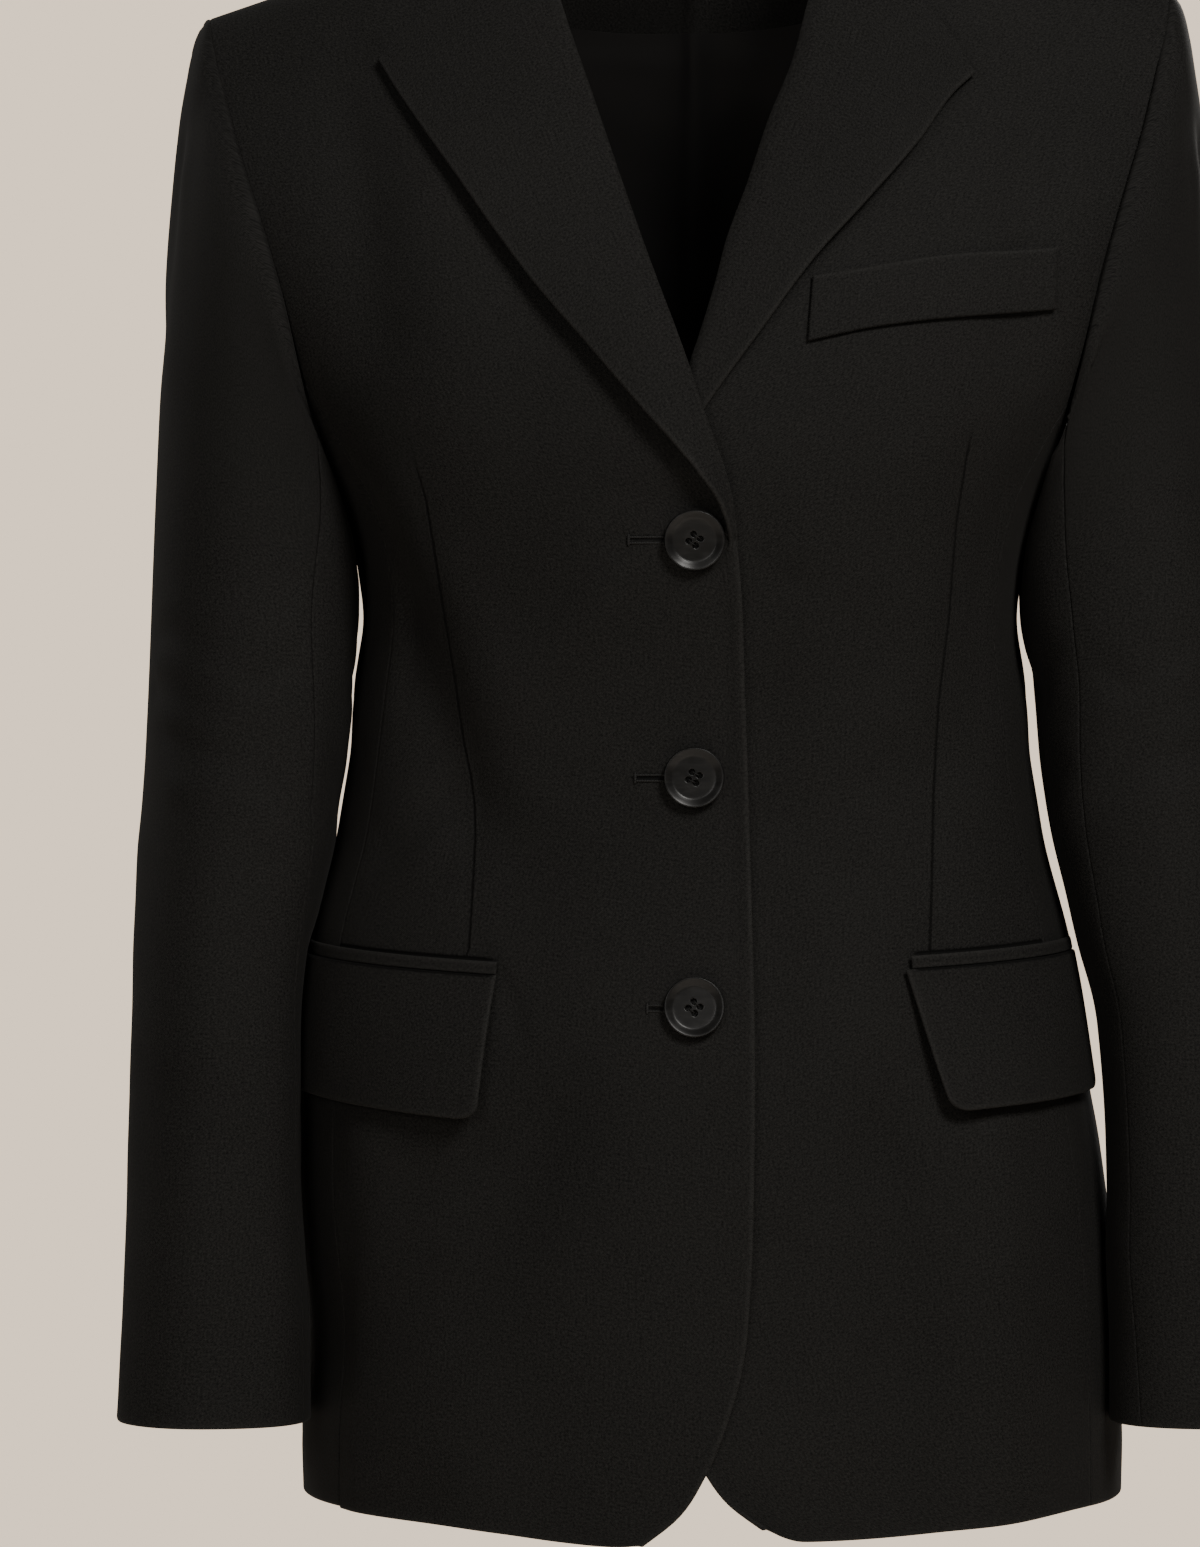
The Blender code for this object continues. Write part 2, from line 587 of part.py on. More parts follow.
def along_line(table, share):
    """x and z at a share of the length of a line drawn from the front."""
    length = np.concatenate([[0.0], np.cumsum(np.hypot(*np.diff(table, axis=0).T))])
    at = np.asarray(share) * length[-1]
    return smooth(at, length, table[:, 0]), smooth(at, length, table[:, 1])


def lapel_point(side):
    """A lapel: u from the roll line out to the brim, v from the break up to the gorge."""
    roll, brim, notch = (
        (ROLL_RIGHT, BRIM_RIGHT, NOTCH_RIGHT) if side < 0 else (ROLL_LEFT, BRIM_LEFT, NOTCH_LEFT)
    )
    if side > 0:
        roll = roll[1:]

    def point(u, v):
        roll_x, roll_z = along_line(roll, 0.005 + 0.993 * v)
        brim_x, brim_z = along_line(brim, v)
        width = np.hypot(brim_x - roll_x, brim_z - roll_z)
        next_x, next_z = along_line(roll, 0.01 + 0.993 * v)
        step = np.hypot(next_x - roll_x, next_z - roll_z)
        fixed = spaced(LAPEL_SECTION[:, 0], u)
        fixed = fixed * np.where(fixed > 0.0, np.minimum(1.0, width / BREAK_WIDTH), 1.0)
        share = np.maximum(spaced(LAPEL_SECTION[:, 1], u) - np.maximum(fixed, 0.0) / width, 0.0)
        x = roll_x + (brim_x - roll_x) * share + side * (next_z - roll_z) / step * fixed
        z = roll_z + (brim_z - roll_z) * share - side * (next_x - roll_x) / step * fixed
        middle = 1.0 - np.abs(2.0 * np.clip(share, 0.0, 1.0) - 1.0)
        gorge_x = (roll[-1, 0] + brim[-1, 0]) / 2.0
        gorge_z = (roll[-1, 1] + brim[-1, 1]) / 2.0
        near_gorge = middle * ease((v - 1.0 + GORGE_SHARE) / GORGE_SHARE)
        z = z + (notch[1] - gorge_z) * near_gorge
        x = x + (notch[0] - gorge_x) * near_gorge
        rising = ease((v - BOWED_FROM) / BOWED_OVER)
        bowed = rising * ease((1.0 - v) / BOWED_TO)
        off = spaced(LAPEL_SECTION[:, 2], u)
        off = np.where(off > PRESSED, PRESSED + (off - PRESSED) * rising, off)
        stand = (STAND_OFF_RIGHT if side < 0 else STAND_OFF_LEFT) * share * bowed
        turn, level = place(x, z)
        below = lapping(x, z) if side < 0 else 0.0
        return on_body(turn, level, off + stand + below)

    return point


def past_ridge(x, over):
    """Turn and level of a place on the shoulder: over is the level past the ridge, back +."""
    level = -np.maximum(np.abs(over), 0.01)
    half, shift = (smooth(level, BODY[:, 0], BODY[:, k]) for k in (1, 2))
    share = np.clip((x - shift) / (half - CLOTH), -1.0, 1.0)
    turn = np.degrees(np.arcsin(power(share, SQUARE / 2.0)))
    return np.where(over > 0.0, np.where(x < 0, -180.0, 180.0) - turn, turn), level


def collar_end(side):
    """The collar's end along the gorge, row by row: just above the lapel's top edge as far as
    the notch, and then out to the leaf's corner."""
    section = np.array(GORGE_ROWS) / (len(LAPEL_SECTION) - 1.0)
    lapel = lapel_point(side)
    top = lapel(section, np.ones(len(section)))
    below = lapel(section, np.full(len(section), 0.97))
    on = (top - below) / np.linalg.norm(top - below, axis=-1, keepdims=True)
    leaf = on_body(*place(*(LEAF_RIGHT if side < 0 else LEAF_LEFT)), LEAF_LIFT)
    return np.concatenate([top + on * GORGE_GAP, leaf[None]])


def collar_point(u, v):
    """The collar: u from one gorge round the back to the other, v from the neck seam over the
    fold down to the outer edge."""
    side = np.where(u < 0.5, -1.0, 1.0)
    station = 1.0 - np.abs(2.0 * u - 1.0)
    knots = np.linspace(0.0, 1.0, len(COLLAR))
    seam_x, seam_over, stand, lean, edge_x, edge_over = (
        smooth(station, knots, COLLAR[:, k]) for k in range(6)
    )
    seam_over = np.where(station > knots[2], -neck_level(seam_x), seam_over)
    seam_x = seam_x - np.where(side > 0.0, LEFT_SEAM_IN, 0.0) * ease(1.0 - station / knots[2])
    seam = on_body(*past_ridge(side * seam_x, seam_over), 0.0)
    over_top = FALL_OVER_RIDGE * ease(1.0 - np.abs(edge_over) / RIDGE_REACH)
    edge = on_body(*past_ridge(side * edge_x, edge_over), FALL_LIFT + over_top)
    up = np.array((0.0, 0.0, 1.0))
    inward = -seam * np.array((1.0, 1.0, 0.0))
    inward /= np.linalg.norm(inward, axis=-1, keepdims=True)
    low = seam + inward * STAND_IN
    crest = low + up * stand[:, None] + inward * lean[:, None]
    top, outer = (crest + up * rise - inward * out for out, rise in zip(ROLL_OUT, ROLL_UP))
    fall = (outer + edge) / 2.0 - inward * FALL_OUT + up * FALL_UP
    rows = np.stack([low, crest, top, outer, fall, edge], axis=1)
    ends = np.where((side < 0.0)[:, None, None], collar_end(-1), collar_end(1))
    at_end = ease(1.0 - station / (1.5 * knots[1]))[:, None, None]
    rows = rows * (1.0 - at_end) + ends * at_end
    at = v * (rows.shape[1] - 1)
    first = np.clip(at.astype(int), 0, rows.shape[1] - 2)
    part = (at - first)[:, None]
    index = np.arange(len(u))
    return rows[index, first] * (1.0 - part) + rows[index, first + 1] * part


# Sleeves

def arm_ring(turn, z, side):
    """A ring of the hanging sleeve: turn 0 is its outer side, 90 its front."""
    middle_x, middle_y, wide, deep, yaw, swing = (
        smooth(z, ARM[:, 0], ARM[:, k]) for k in range(1, 7)
    )
    swing = np.where(side > 0, swing, 0.0)
    across = (wide - CLOTH) * power(np.cos(np.radians(turn)), 2.0 / ARM_SQUARE)
    back = -(deep - CLOTH) * power(np.sin(np.radians(turn)), 2.0 / ARM_SQUARE)
    yaw = np.radians(yaw)
    x = middle_x + swing + across * np.cos(yaw) + back * np.sin(yaw)
    y = middle_y - across * np.sin(yaw) + back * np.cos(yaw)
    half, shift, front, behind = (smooth(z, BODY[:, 0], BODY[:, k]) for k in (1, 2, 3, 4))
    depth = np.where(y < MIDDLE, front, behind)
    inside = np.clip(1.0 - np.abs((y - MIDDLE) / depth) ** SQUARE, 0.0, 1.0)
    beside_flap = ease((z - FLAP_LOW) / FLAP_EASE) * ease((FLAP_HIGH - z) / FLAP_EASE) * (side < 0)
    body = half * inside ** (1.0 / SQUARE) + side * shift + CLOTH + ARM_CLEAR
    body = body + FLAP_CLEAR * beside_flap
    clear = x - body
    x = body + (clear + np.sqrt(clear * clear + CLEAR_SOFTNESS)) / 2.0
    return np.stack([side * x, y, z], axis=-1)


def armhole_point(turn, side, lift):
    """The armhole's edge at a turn round it, lifted off the body's inner face."""
    turn = np.mod(turn, 360.0)
    behind = turn > 180.0
    x_front, z_front = (smooth(turn, ARMHOLE_FRONT[:, 0], ARMHOLE_FRONT[:, k]) for k in (1, 2))
    x_back, z_back = (smooth(turn, ARMHOLE_BACK[:, 0], ARMHOLE_BACK[:, k]) for k in (1, 2))
    x = side * np.where(behind, x_back, x_front)
    z = np.where(behind, z_back, z_front) + LEAN * x
    front_turn, front_level = place(x, z)
    back_turn, back_level = place(x, z, True)
    level = np.where(behind, back_level, front_level)
    return on_body(np.where(behind, back_turn, front_turn), level, lift)


def sleeve_point(turn, v, side):
    """A sleeve's surface: v 0 at the cuff, 1 at the armhole.

    Up to BICEP it is the hanging arm's rings. Above, each line along the sleeve is a Bezier
    curve from the ring to the armhole, leaving the armhole outwards and turning down.
    """
    low = np.clip(v / BICEP_SHARE, 0.0, 1.0)
    high = np.clip((v - BICEP_SHARE) / (1.0 - BICEP_SHARE), 0.0, 1.0)[:, None]
    hanging = arm_ring(turn, CUFF + (BICEP - CUFF) * low, side)
    start = arm_ring(turn, np.full_like(v, BICEP), side)
    below = arm_ring(turn, np.full_like(v, BICEP - HEAD_REACH), side)
    rise = (start - below) / np.linalg.norm(start - below, axis=-1, keepdims=True)
    cosine, sine = np.cos(np.radians(turn)), np.sin(np.radians(turn))
    beside = ease((1.0 - cosine) / LEAVE_OUT[0])
    end = armhole_point(turn, side, beside * (HEAD_LIFT + UNDER_LIFT * (1.0 - cosine) ** 3))
    end[:, 0] += side * HEAD_OUT * (1.0 - beside)
    leave = np.stack([
        side * (LEAVE_OUT[0] + LEAVE_OUT[1] * cosine),
        -LEAVE_FRONT * sine,
        -LEAVE_DOWN[0] - LEAVE_DOWN[1] * cosine,
    ], axis=-1)
    leave /= np.linalg.norm(leave, axis=-1, keepdims=True)
    span = np.linalg.norm(end - start, axis=-1, keepdims=True)
    reach = (HEAD_REACH + HEAD_REACH_FRONT * sine**2)[:, None]
    reach = reach * np.minimum(1.0, span / HEAD_FULL_SPAN)
    first = start + rise * span * (ARM_REACH + ARM_REACH_OUT * cosine)[:, None]
    second = end + leave * reach
    curve = (
        start * (1 - high) ** 3 + 3 * first * high * (1 - high) ** 2
        + 3 * second * high**2 * (1 - high) + end * high**3
    )
    return np.where((v < BICEP_SHARE)[:, None], hanging, curve)


def seam_turn(v, side):
    """The front seam's turn round the arm, at a share of the sleeve's length."""
    return smooth(v, SLEEVE_SEAMS[:, 0], SLEEVE_SEAMS[:, 1 if side < 0 else 2])


def sleeve_rows(v):
    """Rows closer together at the sleeve head, where it turns over."""
    hanging = np.linspace(0.0, BICEP_SHARE, ARM_ROWS + 1)
    head = np.linspace(BICEP_SHARE, 1.0, HEAD_ROWS + 1)[1:]
    return spaced(np.concatenate([hanging, head]), v)


def top_sleeve_point(side):
    """The top sleeve, from the hind seam over the outer side to the front seam."""
    def point(u, v):
        v = sleeve_rows(v)
        space = SLEEVE_SEAM[0] + SLEEVE_SEAM[1] * v
        first, last = HIND_SEAM - 360.0 + space, seam_turn(v, side) - space
        column = np.round(u * TOP_SLEEVE_COLUMNS).astype(int)
        turn = np.append(TOP_SLEEVE_TURNS, (0.0, 0.0, 0.0))[column - 1]
        turn = np.where(column == 0, first, turn)
        turn = np.where(column == TOP_SLEEVE_COLUMNS - 1, (TOP_SLEEVE_TURNS[-1] + last) / 2.0, turn)
        turn = np.where(column == TOP_SLEEVE_COLUMNS, last, turn)
        return sleeve_point(turn, v, side)

    return point


def under_sleeve_point(side):
    """The under sleeve, from the front seam round the inner side to the hind seam."""
    def point(u, v):
        v = sleeve_rows(v)
        first = seam_turn(v, side)
        return sleeve_point(first + (HIND_SEAM - first) * u, v, side)

    return point


# Pockets

def strip_point(side, strip):
    """A jet or a flap: u along the pocket, v up. A flap's inner lower corner is rounded and
    stands off the front."""
    low_in, low_out, high_in, high_out, x_low, x_high, corner_off = strip

    def point(u, v):
        across = u if side > 0 else 1.0 - u
        start, _ = place(side * (x_low + (x_high - x_low) * v), np.full_like(v, high_out))
        turn = start + (side * POCKET_END_TURN - start) * across
        low = low_in + (low_out - low_in) * across
        high = high_in + (high_out - high_in) * across
        lift = CLOTH + STRIP_LIFT + 0.0 * v
        if corner_off:
            low = low + CORNER_RISE * ease(1.0 - across / CORNER_SHARE)
            near = ease(1.0 - across / CORNER_OFF_SHARE)
            lift = lift + (1.0 - v) * (FLAP_OFF + (corner_off - FLAP_OFF) * near)
        return on_body(turn, low + (high - low) * v, lift)

    return point


def breast_welt_point(u, v):
    """The breast welt, a slightly bowed strip that rises towards the armhole."""
    first, last = (WELT_ENDS[0, k] + (WELT_ENDS[1, k] - WELT_ENDS[0, k]) * v for k in (0, 1))
    x = first + (last - first) * u
    low, high = (smooth(x, BREAST_WELT[:, 0], BREAST_WELT[:, k]) for k in (1, 2))
    return on_body(*place(x, low + (high - low) * v), CLOTH + STRIP_LIFT)


# Buttons

def dressed_front(x, z):
    """A point on the outer face of the lapping front."""
    return on_body(*place(x, z), lapping(x, z) + CLOTH)


def hole(button, name, angle):
    """Cuts one hole through a button, with a cylinder that is kept as its cutter."""
    bpy.ops.mesh.primitive_cylinder_add(
        vertices=8, radius=HOLE_RADIUS * METRES, depth=HOLE_LENGTH * METRES,
        location=(HOLE_OFF * METRES * math.cos(angle), HOLE_OFF * METRES * math.sin(angle), 0.0),
    )
    cutter = bpy.context.object
    cutter.name = f"{button.name}_{name}"
    for collection in list(cutter.users_collection):
        collection.objects.unlink(cutter)
    CUTTERS.objects.link(cutter)
    cutter.hide_render = True
    cutter.display_type = "WIRE"
    cutter.parent = button
    cut = button.modifiers.new(name, "BOOLEAN")
    cut.solver = "EXACT"
    cut.object = cutter


def button(name, z):
    """A turned button with a raised round rim, a shallow dish and four holes."""
    radius = BUTTON_WIDTH / 2.0
    mesh = bpy.data.meshes.new(name)
    points = [(share * radius * METRES, 0.0, height * METRES) for share, height in BUTTON_PROFILE]
    mesh.from_pydata(points, [(i, i + 1) for i in range(len(points) - 1)], [])
    made = bpy.data.objects.new(name, mesh)
    GARMENT.objects.link(made)
    made.data.materials.append(HORN_BUTTON)
    turned = made.modifiers.new("Turned", "SCREW")
    turned.axis = "Z"
    turned.steps = turned.render_steps = BUTTON_SIDES
    turned.use_merge_vertices = True
    turned.merge_threshold = 0.00002
    turned.use_smooth_shade = True
    turned.use_normal_calculate = True
    for quarter in range(4):
        hole(made, f"hole_{quarter}", math.radians(45.0 + 90.0 * quarter))
    centre = dressed_front(0.0, z)
    normal = outward(*place(0.0, z))
    rounds = np.radians(np.arange(0.0, 360.0, 30.0))
    rim = dressed_front(radius * np.cos(rounds), z + radius * np.sin(rounds))
    highest = max(0.0, ((rim - centre) @ normal).max())
    made.location = (centre + normal * (highest + BUTTON_GAP)) * METRES
    made.rotation_euler = Vector(normal).to_track_quat("Z", "Y").to_euler()


def build():
    for side, hand in ((-1, "right"), (1, "left")):
        rows = SKIRT_ROWS + FLARE_ROWS + CHEST_ROWS + 3
        wall(f"front_{hand}", front_point(side), FRONT_COLUMNS, rows)
        wall(f"side_panel_{hand}", side_panel_point(side), SIDE_COLUMNS, SKIRT_ROWS + FLARE_ROWS)
        wall(f"back_{hand}", back_point(side), SHOULDER_COLUMNS + NECK_COLUMNS, rows)
        wall(f"lapel_{hand}", lapel_point(side), 7, 18, LAPEL, flip=side < 0)
        for name, point, columns in (
            ("top", top_sleeve_point(side), TOP_SLEEVE_COLUMNS),
            ("under", under_sleeve_point(side), UNDER_SLEEVE_COLUMNS),
        ):
            wall(f"{name}_sleeve_{hand}", point, columns, ARM_ROWS + HEAD_ROWS, flip=side > 0)
        jet, flap = POCKETS[hand]
        wall(f"jet_{hand}", strip_point(side, jet), 8, 1, JET_CLOTH)
        wall(f"flap_{hand}", strip_point(side, flap), 10, 5, FLAP_CLOTH)
    wall("collar", collar_point, COLLAR_COLUMNS, 5, COLLAR_CLOTH)
    wall("breast_welt", breast_welt_point, 10, 3, WELT_CLOTH)
    for number, z in enumerate(BUTTON_LEVELS, start=1):
        button(f"button_{number}", z)


for old in list(bpy.data.objects):
    bpy.data.objects.remove(old, do_unlink=True)
GARMENT = bpy.data.collections.new("single breasted blazer")
CUTTERS = bpy.data.collections.new("cutters")
bpy.context.scene.collection.children.link(GARMENT)
bpy.context.scene.collection.children.link(CUTTERS)
WOOL_CLOTH = material("wool twill", WOOL, 0.9)
HORN_BUTTON = material("button horn", HORN, 0.25)
build()
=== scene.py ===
"""Looks of a single breasted blazer of fine black wool twill, hollow and in its worn shape.

Each cloth piece is a closed shell on the form that the solids share. Sizes of the form are in
millimetres until a mesh is written, in metres. The front faces -Y, the wearer's right is -X.
"""

import math

import bpy
import numpy as np
from bpy.props import FloatProperty, FloatVectorProperty, PointerProperty
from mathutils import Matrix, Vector


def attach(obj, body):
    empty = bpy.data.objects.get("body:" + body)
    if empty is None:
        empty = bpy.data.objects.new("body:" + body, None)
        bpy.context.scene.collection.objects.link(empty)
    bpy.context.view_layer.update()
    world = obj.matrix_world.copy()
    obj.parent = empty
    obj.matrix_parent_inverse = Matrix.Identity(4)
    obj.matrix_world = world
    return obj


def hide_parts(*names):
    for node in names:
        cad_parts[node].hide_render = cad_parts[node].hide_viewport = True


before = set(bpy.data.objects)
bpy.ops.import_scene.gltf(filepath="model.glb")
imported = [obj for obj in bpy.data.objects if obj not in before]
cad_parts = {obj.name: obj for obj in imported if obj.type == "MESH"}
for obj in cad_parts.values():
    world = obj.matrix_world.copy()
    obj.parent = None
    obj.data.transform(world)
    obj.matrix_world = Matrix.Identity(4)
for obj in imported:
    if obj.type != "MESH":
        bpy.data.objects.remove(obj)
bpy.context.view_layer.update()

bl_info = {
    "name": "Single Breasted Blazer",
    "version": (1, 0, 0),
    "blender": (4, 5, 0),
    "location": "3D View > Sidebar > Blazer",
    "description": "Makes the cloth, lining, buttons and sewing of a tailored jacket",
    "category": "Add Mesh",
}

METRES = 0.001
TINY = 1e-9

CLOTH = 1.6  # wall of one worsted layer with its interfacing
LAPEL = 2.2  # front and facing pressed together
COLLAR_CLOTH = 2.0
SEAM = 0.35  # space between two pieces at a seam
SQUARE = 2.4  # exponent of the body's rings, 2 is an ellipse
MIDDLE = 4.0  # y of the ring's widest place and of the shoulder seam
RIDGE = 30.0  # height of the rounding on top of the shoulder
NECK_X = 77.0  # neck end of the shoulder seam
SHOULDER_X = 213.0  # sleeve end of the shoulder seam
SLOPE = 0.319  # fall of the shoulder for each millimetre outwards
SLOPE_ROUND = 40.0  # half width of the rounding between the two slopes
LEAN = 0.028  # the wearer's left shoulder is higher by this share of x
TILT_FROM = -190.0  # rings below this level are level all over
HEM = -700.0
WAIST = -300.0
NECK_DIP = 26.0  # the neck seam's level at the centre back, below the shoulder seam
SIDE_FRONT_TURN = 62.5  # seam of the front and the side panel
SIDE_BACK_TURN = 118.0  # seam of the side panel and the back
FOLD_TAPER = 1.6  # a fold fades past its ends over this many of its half widths
FOLDS_END = 60.0  # folds fade out over this much level below the shoulder
RISE_ROUNDS = 14  # rounds that settle a level for a height on the sloping shoulder
TURN_STEP, LEVEL_STEP = 0.6, 1.0  # steps to both sides that give the form's normal
# How near the shoulder's top the normal, its upper step and a place go.
NORMAL_TOP, STEP_TOP, PLACE_TOP = -0.3, -0.02, -0.003
RIDGE_GAP = 0.01  # and the collar's places on the ridge
ARMHOLE_STEPS = 60
NECK_SHORT = 0.4  # a front's neck end lies this far inside the back's
HIP_HALF = 170.0  # half width where a side panel's seams are measured
COLUMNS_EVEN = -200.0  # below this level a back's columns are even
NECK_BENDS = -110.0  # above this level its rows bend to the neck

# Rows and columns of the panels' grids.
SKIRT_ROWS = 13
FLARE_ROWS = 6
CHEST_ROWS = 8
OVER_ANGLES = (60.0, 32.0, 0.6)  # rows over the shoulder's rounding, 0 at its top
SHOULDER_COLUMNS = 4
NECK_COLUMNS = 5

# The lapping front lies outside the one below it, and its lapel outside the other lapel.
LAP_LIFT = 2.4
LAP_X, LAP_Z = (-78.0, -36.0), (-150.0, -190.0)  # where the lift begins and where it is full
LAPEL_LIFT = 2.9
LAPEL_X, LAPEL_Z = (-46.0, -10.0), (-172.0, -198.0)
LAPEL_ENDS_Z = (-270.0, -250.0)  # and the lapel's fades again down to its break

# The body's rings: level, half width, shift of the middle, depth to the front and to the back.
BODY = np.array([
    (-725, 180, 10, 126, 131), (-660, 180, 9.5, 125, 131), (-610, 179, 8.5, 124, 130),
    (-560, 177.5, 5, 122, 127), (-520, 174.5, 2, 118.5, 121), (-460, 170, 0, 112, 108),
    (-405, 156, 0, 107, 96), (-345, 149.5, 0, 110, 95), (-300, 147.5, 0, 118.5, 103),
    (-262, 156, 0, 124.5, 111), (-240, 168, 0, 126, 113.5), (-215, 184, 0, 124, 115),
    (-190, 198, 0, 119, 114), (-150, 217, 0, 105, 107), (-100, 238, 0, 82, 90),
    (-60, 246, 0, 59, 68), (-30, 250, 0, 41, 50), (0, 251, 0, 32, 40),
])

# Soft folds of the body: x and z of both ends, half width, depth (below 0 is a trough).
FOLDS = np.array([
    (-142, -292, -97, -395, 20, -3.5), (150, -300, 104, -385, 20, -2.5),
    (-150, -110, -138, -178, 20, -3), (148, -120, 138, -190, 20, -2),
    (133, -545, 128, -690, 26, 4), (76, -555, 72, -680, 22, -3.5),
    (-70, -545, -150, -625, 26, -3.5), (-120, -600, -110, -700, 26, 2.5),
    (-34, -300, -70, -345, 16, 1.5),
])

# The lapping front's edge below the lapel: x and z, top to bottom, then the rounded corner.
EDGE_RIGHT = np.array([
    (13.8, -266), (17.9, -286), (20, -309), (21.3, -342), (22.6, -377), (24.4, -440), (25.5, -505),
    (25.1, -553), (23.6, -600), (20, -635), (14.5, -655), (4.8, -679), (-8, -698), (-22, -709),
])
# The fronts' hem: distance from its middle, and height on the right and on the left front.
HEM_MIDDLE_X = 3.0
HEM_LINE = np.array([
    (20, -709.6, -706.6), (36, -709.6, -707.5), (60, -708, -707.6), (85, -705.4, -706.4),
    (107, -703.4, -704.4), (130, -702.2, -702.6), (160, -700.5, -700.5), (200, -698, -698),
])
HEM_ROWS_SHARE = 0.1  # the rows that bend to follow the hem, as a share of the front's height
HEM_CORNER_SHARE = 0.08  # and the corner's share of its width
# The lower front's edge, hidden down to its corner, where it swings open.
EDGE_LEFT = np.array([
    (-14, -266), (-18, -290), (-21, -342), (-24, -440), (-24, -520), (-20, -580), (-14, -620),
    (-6, -655), (4.8, -679), (14, -691), (29, -702),
])
# Roll lines of the lapels, x and z, from the break up to the end of the gorge.
ROLL_RIGHT = np.array([
    (13.8, -266), (7.6, -249), (0.4, -230), (-5.6, -212), (-15.6, -184), (-26.2, -153),
    (-34.9, -127), (-45, -95.5), (-52.6, -72), (-60.2, -47.5), (-65.5, -27),
])
ROLL_LEFT = np.array([
    (-14, -266), (-8, -240), (0.5, -212), (5.6, -197), (12.6, -174), (17.6, -155), (26.2, -131.5),
    (36.3, -101), (46.3, -76), (54, -47.5), (60.5, -24),
])
# Outer edges of the lapels, x and z, from the break to the tip.
BRIM_RIGHT = np.array([
    (12, -268), (1, -254.5), (-22, -229), (-45, -202), (-68, -175), (-84, -153), (-97.5, -133),
    (-111, -113), (-124.5, -92), (-135.5, -73),
])
BRIM_LEFT = np.array([
    (-4.0, -241.0), (5.0, -227.0), (30.0, -193.0), (51.0, -165.0), (75.0, -138.0), (96.0, -113.0),
    (113.0, -89.0), (122.0, -80.0),
])
# The notch and the collar's leaf, x and z.
NOTCH_RIGHT = (-99.0, -46.0)
NOTCH_LEFT = (90.0, -49.0)
LEAF_RIGHT = (-123.0, -29.0)
LEAF_LEFT = (116.0, -30.0)

# The armhole, from the shoulder down the front, under the arm and up the back:
# turn round the hole, x, z.
ARMHOLE_FRONT = np.array([
    (0, 213, -41.5), (20, 210.5, -56), (45, 205, -80), (70, 197.5, -107), (95, 187, -138),
    (115, 177.5, -168), (135, 168.5, -202), (150, 161, -230), (165, 157, -252), (180, 154.4, -262),
])
ARMHOLE_BACK = np.array([
    (180, 154.4, -262), (195, 159.5, -252), (210, 168, -234), (230, 180, -204), (255, 189.5, -163),
    (280, 196, -126), (305, 202.5, -93), (330, 208.5, -66), (360, 213, -41.5),
])

# The hanging arm's rings below the armhole: z, middle x and y, half width, half depth, yaw of
# the ring and how far the wearer's left arm hangs further out.
ARM = np.array([
    (-668, 210, -42, 42, 45.5, 8, 14.5), (-640, 210.5, -38, 40, 46.5, 9, 12.5),
    (-581, 211, -31, 37, 48.5, 11, 9), (-524, 210.5, -24, 36, 50.5, 12, 8),
    (-460, 208, -17, 37, 53.5, 12, 5), (-379, 199, -8, 42.5, 58, 10, 2),
    (-300, 193, -3, 46, 62.5, 6, 1),
])
ARM_SQUARE = 2.25
CUFF = -664.0
BICEP = -300.0  # above it the sleeve bends over to the armhole
BICEP_SHARE = 0.62  # and this is its share of the sleeve's lines, from the cuff

# Turn of the front seam round the right and the left sleeve, at shares of the sleeve's lines.
SLEEVE_SEAMS = np.array([
    (0, 150, 124), (0.11, 147, 125), (0.25, 139, 124), (0.38, 128, 120), (0.5, 119, 117),
    (0.62, 114, 115), (0.74, 121, 122), (0.88, 138, 139), (1, 151, 151),
])
HIND_SEAM = 250.0
ARM_CLEAR = 1.6  # space between a hanging sleeve and the body
CLEAR_SOFTNESS = 3.0  # rounds the place where the sleeve is pressed flat beside the body
HAIR = 0.5  # the least that is left of it
DRAWN_ROUND = 0.6  # the draw is full where minus the cosine of the turn passes this
DRAWN_TO, DRAWN_FADE = 0.96, 0.09  # share of the sleeve where it ends, and its fading
# How far the inner side of the right and of the left sleeve is drawn in, from the cuff up.
DRAWN_IN = np.array([
    (-668, 1.5, 1), (-625, 4, 1), (-590, 4, 1.5), (-565, 3, 0), (-518, 3.4, 0), (-482, 2.4, 0.5),
    (-456, 3.2, 4), (-430, 4.6, 4.5), (-411, 4.9, 4.5), (-400, 3.6, 4), (-376, 3.7, 2.5),
    (-340, 3.4, 1), (-322, 2.6, 3), (-300, 2.8, 4.2), (-270, 5, 4.4), (-235, 4, 5),
    (-205, 1.5, 3.6), (-180, 0, 0),
])
FLAP_CLEAR = 4.5  # more room where a sleeve hangs beside a pocket flap, at these heights
FLAP_LOW, FLAP_HIGH, FLAP_EASE = -545.0, -440.0, 20.0

# Each line of the sleeve head leaves the armhole in a direction made of a middle part and a part
# that turns with the line: outwards, to the front and down.
LEAVE_OUT, LEAVE_FRONT, LEAVE_DOWN = (0.5, 0.42), 0.30, (0.66, -0.34)
HEAD_REACH, HEAD_REACH_FRONT = 12.0, 14.0  # how far it keeps that direction
HEAD_FULL_SPAN = 80.0  # on lines shorter than this, less
ARM_REACH, ARM_REACH_OUT = 0.42, 0.16  # and how far up it keeps the arm's, of the whole span
HEAD_OUT = 0.8  # the head's top starts this far outside the shoulder's end
HEAD_LIFT, UNDER_LIFT = CLOTH + 0.6, 0.36  # elsewhere it lies on the armhole's edge
SLEEVE_SEAM = (0.25, 0.35)  # half the sleeve seams' space, in degrees at the cuff, and more above
